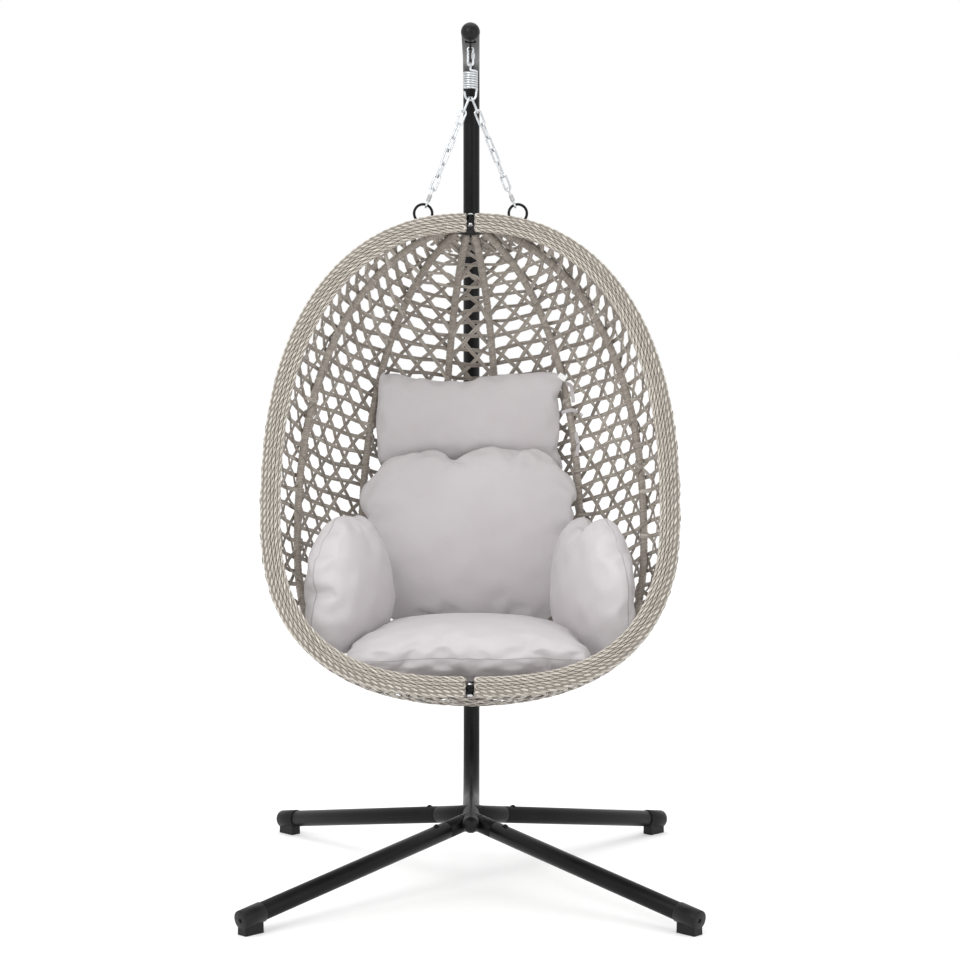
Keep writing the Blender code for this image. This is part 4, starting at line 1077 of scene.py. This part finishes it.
def weave_tables():
    first, last = outline_ends(PLATE_WIDTH * 0.7, SKIN_WIDTH)
    angle = np.linspace(first, last, 1500)
    width, level = egg(SKIN_WIDTH, RIB_RISE + WEAVE_OFFSET, RIB_DROP + WEAVE_OFFSET, angle)
    steps = np.hypot(np.diff(width * SKIN_RATIO), np.diff(level))
    down = np.concatenate([[0], np.cumsum(steps)])
    turn = np.linspace(pi / 2, 0.0, 600)
    pace = np.hypot(np.sin(turn), SKIN_RATIO * np.cos(turn))
    round_ = np.concatenate([[0], np.cumsum(0.5 * (pace[1:] + pace[:-1]) * np.diff(-turn))])
    return down, width, level, round_, turn


DOWN, SKIN_WIDTHS, SKIN_LEVELS, ROUND, TURN = weave_tables()


def skin_point(s, t):
    """A point of the woven skin: s runs round from the back's middle, t down the back."""
    width = np.interp(t, DOWN, SKIN_WIDTHS)
    level = np.interp(t, DOWN, SKIN_LEVELS)
    turn = np.interp(np.abs(s) / width, ROUND, TURN)
    return basket_points(np.sign(s) * width * np.cos(turn), width * SKIN_RATIO * np.sin(turn), level)


def skin_normal(s, t):
    step = 0.0015
    beside = skin_point(s + step, t) - skin_point(s - step, t)
    below = skin_point(s, t + step) - skin_point(s, t - step)
    return unit(np.cross(beside, below))


def skin_reach(t):
    """How far round the skin goes before it meets the rim band."""
    width = np.interp(t, DOWN, SKIN_WIDTHS)
    turn = np.arcsin(np.clip(WEAVE_FRONT / (width * SKIN_RATIO), 0, 1))
    return width * np.interp(-turn, -TURN, ROUND)


def wander(s, t):
    """Small smooth unevenness of a hand weave, the same for all strands at a place."""
    ds = 0.0032 * np.sin(23 * s + 9 * t) + 0.0026 * np.sin(41 * t - 17 * s + 1.3)
    dt = 0.0026 * np.sin(19 * s - 13 * t + 0.7) + 0.0022 * np.sin(37 * s + 29 * t)
    return s + ds, t + dt


def round_ribs(s, t):
    """How strongly a strand at each place has to bend inwards to pass inside a rib."""
    width = np.interp(t, DOWN, SKIN_WIDTHS)
    turn = np.interp(np.abs(s) / width, ROUND, TURN)
    bend = np.zeros_like(width)
    for degrees in RIB_ANGLES:
        away = np.abs(s) - width * np.interp(-radians(degrees), -TURN, ROUND)
        bend = np.maximum(bend, np.exp(-(away / 0.014) ** 2))
    return bend * np.clip((width - 0.13) / 0.08, 0, 1) * (turn > radians(15))


def lay_cane(strands, s, t, lift, tint, inside=False):
    """One cane along the skin; it passes outside the ribs unless inside is set."""
    if inside:
        lift = lift - (2 * RIB_R + 0.0042) * round_ribs(s, t)
    jitter = random.uniform(-0.0010, 0.0010, 2)
    s, t = wander(s, t)
    t = np.clip(t + jitter[1], DOWN[0] + 0.002, DOWN[-1] - 0.002)
    s = s + jitter[0]
    normal = skin_normal(s, t)
    path = skin_point(s, t) + normal * lift[:, None]
    section = oval(CANE_HALF_WIDTH * random.uniform(0.94, 1.06), CANE_HALF_HEIGHT, 8, 0.7)
    strands.add(path, normal, section, False, tint, random.uniform(0, 50))


def build_weave():
    """Level rows, two families of diagonals, and the crossings under the top hinge."""
    rolls = [Strands()]

    def current():
        """The mesh being filled, and a new one once it is full."""
        if rolls[-1].count > WEAVE_PIECE_POINTS:
            rolls.append(Strands())
        return rolls[-1]

    rows = int(DOWN[-1] / ROW_PITCH)
    for k in range(1, rows + 1):
        level = k * ROW_PITCH
        if level > DOWN[-1] - 0.004:
            continue
        reach = skin_reach(level)
        s = np.linspace(-reach, reach, max(8, int(2 * reach / ROW_STEP)))
        crossing = (s / HEX_PITCH - k / 2) * 2 * pi
        lay_cane(current(), s, np.full_like(s, level), CROSSING * np.cos(crossing),
                 random.uniform(0.1, 0.9), k % 3 == 0)
    for sign, shift in ((1, 0.0), (-1, 0.5)):
        slope = sign * HEX_PITCH / (2 * ROW_PITCH)
        t = np.arange(0.004, DOWN[-1] - 0.004, DIAGONAL_STEP)
        reach = skin_reach(t)
        span = int((reach.max() + DOWN[-1] * abs(slope)) / HEX_PITCH) + 2
        for number in range(-span, span + 1):
            s = (number + shift) * HEX_PITCH + slope * t
            inside = np.abs(s) < reach + 0.002
            edges = np.flatnonzero(np.diff(np.concatenate([[0], inside, [0]])))
            for first, last in zip(edges[::2], edges[1::2]):
                if last - first < 6:
                    continue
                part = slice(first, last)
                lift = -sign * CROSSING * np.cos(2 * pi * t[part] / ROW_PITCH)
                lay_cane(current(), s[part], t[part], lift,
                         random.uniform(0.1, 0.9), number % 2 == 0)
    # strands crossing close together where the weave gathers under the top hinge
    t = np.arange(0.010, 0.135, DIAGONAL_STEP)
    for sign in (1, -1):
        for number in range(-4, 5):
            s = number * TOP_CROSS_PITCH + sign * TOP_CROSS_SLOPE * (t - 0.070)
            inside = np.abs(s) < skin_reach(t) * 0.98
            if inside.sum() > 6:
                lift = np.full(inside.sum(), -0.0015 - 0.0012 * sign)
                lay_cane(current(), s[inside], t[inside], lift, random.uniform(0.1, 0.9))
    for number, roll in enumerate(rolls, 1):
        nodes = ["basket_weave"] if number == len(rolls) else []
        roll.place(f"cane_weave_strands_{number}", WEAVE_CANE, "basket", "cane_weave", *nodes)


# ---------------------------------------------------------------- cushions
SHEET_CELL = 0.0072
SHEET_SPARE = 1.07
SHEET_CROWN = 0.028
UNEVEN = 0.004
STUFFING_FRAMES = 26
STUFFING_PRESSURE = 5.0
CREASE_SHARE = 0.40
PLEAT_DEPTH = 0.0022
BACK_LEAN = radians(7)
HEAD_LEAN = radians(-4)
ARM_TURN = radians(111)
TIE_LINES = ([(-0.203, 0.098, 1.062), (-0.212, 0.094, 1.030), (-0.206, 0.092, 0.985)],
             [(0.212, 0.098, 1.160), (0.236, 0.105, 1.150), (0.240, 0.100, 1.110)],
             [(0.212, 0.098, 1.086), (0.238, 0.104, 1.094), (0.262, 0.116, 1.078)],
             [(0.246, 0.106, 1.040), (0.252, 0.102, 1.010), (0.248, 0.100, 0.985)])
TAG_FALLS = (((-0.268, -0.43, 0.590), (0.004, -0.010, -0.022)),
             ((0.262, -0.43, 0.586), (0.006, -0.010, -0.024)),
             ((0.205, 0.078, 1.176), (0.016, -0.004, -0.012)))


def pillow_sheets(half_size, rounding):
    """Two square sheets that share their edge: points, quads and which points are on the seam."""
    columns, rows = (int(round(2 * half / SHEET_CELL)) for half in half_size)
    a, b = np.meshgrid(np.linspace(-1, 1, columns + 1), np.linspace(-1, 1, rows + 1))
    swell = ((1 - np.abs(a) ** 2.2) * (1 - np.abs(b) ** 2.2)) ** 0.8
    across = a * np.sqrt(1 - 0.5 * rounding * b ** 4)
    up = b * np.sqrt(1 - 0.5 * rounding * a ** 4)
    front = np.stack([half_size[0] * across, -SHEET_CROWN * swell, half_size[1] * up], -1)
    front = front.reshape(-1, 3)
    number = np.arange(front.shape[0]).reshape(rows + 1, columns + 1)
    on_seam = np.zeros(number.shape, bool)
    on_seam[[0, -1]] = True
    on_seam[:, [0, -1]] = True
    inner = ~on_seam
    back_number = number.copy()
    back_number[inner] = front.shape[0] + np.arange(inner.sum())
    # an uneven start keeps the creases from coming out the same on every side
    ripple = random.uniform(0, 2 * pi, 4)
    a, b = half_size[0] * a, half_size[1] * b
    uneven = UNEVEN * (np.sin(a * 95 + ripple[0]) * np.sin(b * 61 + ripple[1])
                       + np.sin(a * 47 + ripple[2]) * np.sin(b * 118 + ripple[3]))
    front[:, 1] -= uneven.ravel() * inner.ravel()
    back = front.reshape(rows + 1, columns + 1, 3)[inner] * np.array((1, -1, 1))
    points = np.concatenate([front, back])
    quads = []
    for grid, flip in ((number, False), (back_number, True)):
        corners = [grid[:-1, :-1], grid[:-1, 1:], grid[1:, 1:], grid[1:, :-1]]
        quad = np.stack(corners, -1).reshape(-1, 4)
        quads.append(quad[:, ::-1] if flip else quad)
    seam = np.zeros(len(points))
    seam[: front.shape[0]] = on_seam.ravel()
    return points, np.concatenate(quads), seam


def inflate(obj, pressure, frames):
    """Cloth simulation with inner pressure; returns the settled points."""
    cloth = obj.modifiers.new("stuffing", "CLOTH")
    settings = cloth.settings
    settings.quality = 6
    settings.mass = 0.25
    settings.tension_stiffness = 18
    settings.compression_stiffness = 18
    settings.shear_stiffness = 6
    settings.bending_stiffness = 0.12
    settings.air_damping = 2.0
    settings.use_pressure = True
    settings.uniform_pressure_force = pressure
    settings.effector_weights.gravity = 0.0
    cloth.collision_settings.use_collision = False
    cloth.point_cache.frame_start = 1
    cloth.point_cache.frame_end = frames + 1
    scene = bpy.context.scene
    for number in range(1, frames + 1):
        scene.frame_set(number)
    evaluated = obj.evaluated_get(bpy.context.evaluated_depsgraph_get())
    points = np.zeros(len(obj.data.vertices) * 3, np.float32)
    evaluated.data.vertices.foreach_get("co", points)
    obj.modifiers.remove(cloth)
    scene.frame_set(1)
    return points.reshape(-1, 3).astype(float)


def ease(points, quads, rounds, share):
    """Draws each point part of the way to the middle of its neighbours, round after round."""
    ends = np.concatenate([quads[:, [0, 1]], quads[:, [1, 2]], quads[:, [2, 3]], quads[:, [3, 0]]])
    ends = np.concatenate([ends, ends[:, ::-1]])
    near = np.bincount(ends[:, 0], minlength=len(points))[:, None]
    for _ in range(rounds):
        total = np.zeros_like(points)
        np.add.at(total, ends[:, 0], points[ends[:, 1]])
        points = points + share * (total / near - points)
    return points


def fit_form(points, half_size, crowns, fill, puff):
    """Scales the inflated form to the space its solid holds, and fills its edges out."""
    points = points.copy()
    for axis in (0, 2):
        points[:, axis] -= 0.5 * (points[:, axis].max() + points[:, axis].min())
    a = points[:, 0] / np.abs(points[:, 0]).max()
    b = points[:, 2] / np.abs(points[:, 2]).max()
    points[:, 0] = half_size[0] * a * (1 + fill[0] * (1 - b * b))
    points[:, 2] = half_size[1] * b * (1 + fill[1] * (1 - a * a))
    for sign, crown in ((-1, crowns[0]), (1, crowns[1])):
        share = np.clip(sign * points[:, 1] / (sign * points[:, 1]).max(), 0, 1)
        side = share > 0
        points[side, 1] = sign * crown * share[side] ** puff
    return points


def gathers(points, half_size, depth):
    """Small pleats that run in from the sewn edge."""
    a, b = points[:, 0] / half_size[0], points[:, 2] / half_size[1]
    for along, edge in ((points[:, 0], np.abs(b)), (points[:, 2], np.abs(a))):
        phase = random.uniform(0, 2 * pi, 3)
        wave = np.sin(along * 128 + 2.2 * np.sin(along * 29 + phase[0]) + phase[1])
        wave *= 0.6 + 0.4 * np.sin(along * 17 + phase[2])
        fade = np.exp(-np.clip(1 - edge, 0, 1) / 0.10)
        points[:, 1] += depth * wave * fade * np.sign(points[:, 1])
    return points


def cushion(node, centre, half_size, crowns, rounding, fill, puff=0.82, lean=0.0, turn=0.0, wrap=0.0,
            taper=0.0):
    """A knife-edge cushion, stuffed by simulation, then laid where its solid is.

    crowns: thickness in front of and behind the seam; rounding and fill: how far the corners
    draw in and the sides swell out; wrap: how far the sides fall back; taper: narrower at the top.
    """
    sheet = (half_size[0] * SHEET_SPARE, half_size[1] * SHEET_SPARE)
    points, quads, seam = pillow_sheets(sheet, rounding)
    made = mesh_object(node + "_stuffed", points, quads.ravel(), np.full(len(quads), 4), CLOTH)
    points = inflate(made, STUFFING_PRESSURE, STUFFING_FRAMES)
    points = CREASE_SHARE * points + (1 - CREASE_SHARE) * ease(points, quads, 60, 0.6)
    points = gathers(fit_form(points, half_size, crowns, fill, puff), half_size, PLEAT_DEPTH)
    points[:, 0] *= 1 - taper * points[:, 2] / half_size[1]
    points[:, 1] -= wrap * (points[:, 0] / half_size[0]) ** 2
    facing = Matrix.Rotation(turn, 4, "Z") @ Matrix.Rotation(-lean, 4, "X")
    placing = np.array(Matrix.Translation(centre) @ facing)
    points = points @ placing[:3, :3].T + placing[:3, 3]
    made.data.vertices.foreach_set("co", points.astype(np.float32).ravel())
    # the seam layer drives the cloth's painted shade along the sewn edge
    add_layer(made.data, "seam", "FLOAT", seam)
    made.data.update()
    finer = made.modifiers.new("finer", "SUBSURF")
    finer.levels = 1
    finer.render_levels = 1
    settle(made, "basket", CLOTH_SLOT, node)


def build_cushions():
    cushion("cushion_seat", Vector((0, HANG_Y - 0.062, 0.580)), (0.244, 0.212), (0.070, 0.066),
            0.35, (0.10, 0.14), lean=radians(90), taper=0.09)
    cushion("cushion_back", Vector((0, HANG_Y + 0.236, 0.790)), (0.236, 0.190), (0.074, 0.058),
            0.80, (0.10, 0.20), lean=BACK_LEAN, wrap=0.045, taper=-0.03)
    cushion("cushion_head", Vector((0, HANG_Y + 0.319, 1.070)), (0.216, 0.116), (0.052, 0.040),
            0.02, (0.03, 0.14), lean=HEAD_LEAN, wrap=0.040)
    for side, word in SIDES:
        cushion("cushion_arm_" + word, Vector((side * 0.274, HANG_Y - 0.056, 0.704)),
                (0.166, 0.140), (0.050, 0.074), 0.95, (0.08, 0.20), 0.80,
                turn=side * ARM_TURN, taper=0.04)
    ties = Strands()
    for line in TIE_LINES:
        ties.add(resample(array(line), 0.003, 6), -Y_AXIS, oval(0.0045, 0.0005, 8, 0.6))
    ties.place("cushion_ties", CLOTH, "basket", CLOTH_SLOT)
    tags = Strands()
    for foot, fall in TAG_FALLS:
        path = np.array(foot) + np.linspace(0, 1, 6)[:, None] * np.array(fall)
        tags.add(path, -Y_AXIS, oval(0.0065, 0.0004, 8, 0.4))
    tags.place("cushion_tags", TAG, "basket", CLOTH_SLOT)


# ---------------------------------------------------------------- stage, light and camera
FLOOR_RADIUS = 60.0
CAMERA_DISTANCE = 5.24
CAMERA_HEIGHT = 1.25
CAMERA_SIDE = 0.021
CAMERA_DIP = 0.060
CHAIR_MIDDLE = (0, -0.1, 0.9)


def stage():
    """A wide white floor."""
    built = bmesh.new()
    bmesh.ops.create_circle(built, cap_ends=True, segments=64, radius=FLOOR_RADIUS)
    mesh = bpy.data.meshes.new("studio_floor")
    built.to_mesh(mesh)
    built.free()
    finish, shader = shader_of("studio_paper", (0.88, 0.88, 0.88), 0.9)
    set_inputs(shader, Emission_Color=(1, 1, 1, 1), Emission_Strength=0.20)
    link_object("studio_floor", mesh, finish)


def area_light(name, place, aim, size, power):
    data = bpy.data.lights.new(name, "AREA")
    data.shape = "RECTANGLE"
    data.size, data.size_y = size
    data.energy = power
    light = bpy.data.objects.new(name, data)
    bpy.context.scene.collection.objects.link(light)
    light.location = place
    light.rotation_euler = (Vector(aim) - Vector(place)).to_track_quat("-Z", "Y").to_euler()


def build_studio():
    """White surroundings, three soft lights and the camera."""
    stage()
    world = bpy.data.worlds.new("studio")
    bpy.context.scene.world = world
    world.use_nodes = True
    set_inputs(world.node_tree.nodes["Background"], Color=(1.0, 1.0, 1.0, 1), Strength=1.0)
    area_light("key", (-2.2, -3.6, 3.6), CHAIR_MIDDLE, (2.5, 2.0), 75)
    area_light("fill", (3.0, -3.0, 1.6), CHAIR_MIDDLE, (2.0, 2.5), 22)
    area_light("top", (0, 0.2, 4.6), (0, 0, 0.6), (3.0, 3.0), 40)
    data = bpy.data.cameras.new("camera")
    data.lens = 85.7
    data.sensor_width = 36.0
    camera = bpy.data.objects.new("camera", data)
    bpy.context.scene.collection.objects.link(camera)
    camera.location = (CAMERA_SIDE, HUB_Y - CAMERA_DISTANCE, CAMERA_HEIGHT)
    camera.rotation_euler = (radians(90) - CAMERA_DIP, 0, 0)
    bpy.context.scene.camera = camera
    bpy.context.scene.view_settings.view_transform = "Standard"


build_studio()
build_stand()
build_spring()
build_chains()
for side, word in SIDES:
    build_rim(side, word)
    for number, degrees in enumerate(RIB_ANGLES, 1):
        build_rib(degrees, side, word, number)
build_rim_ironwork()
build_weave()
build_cushions()
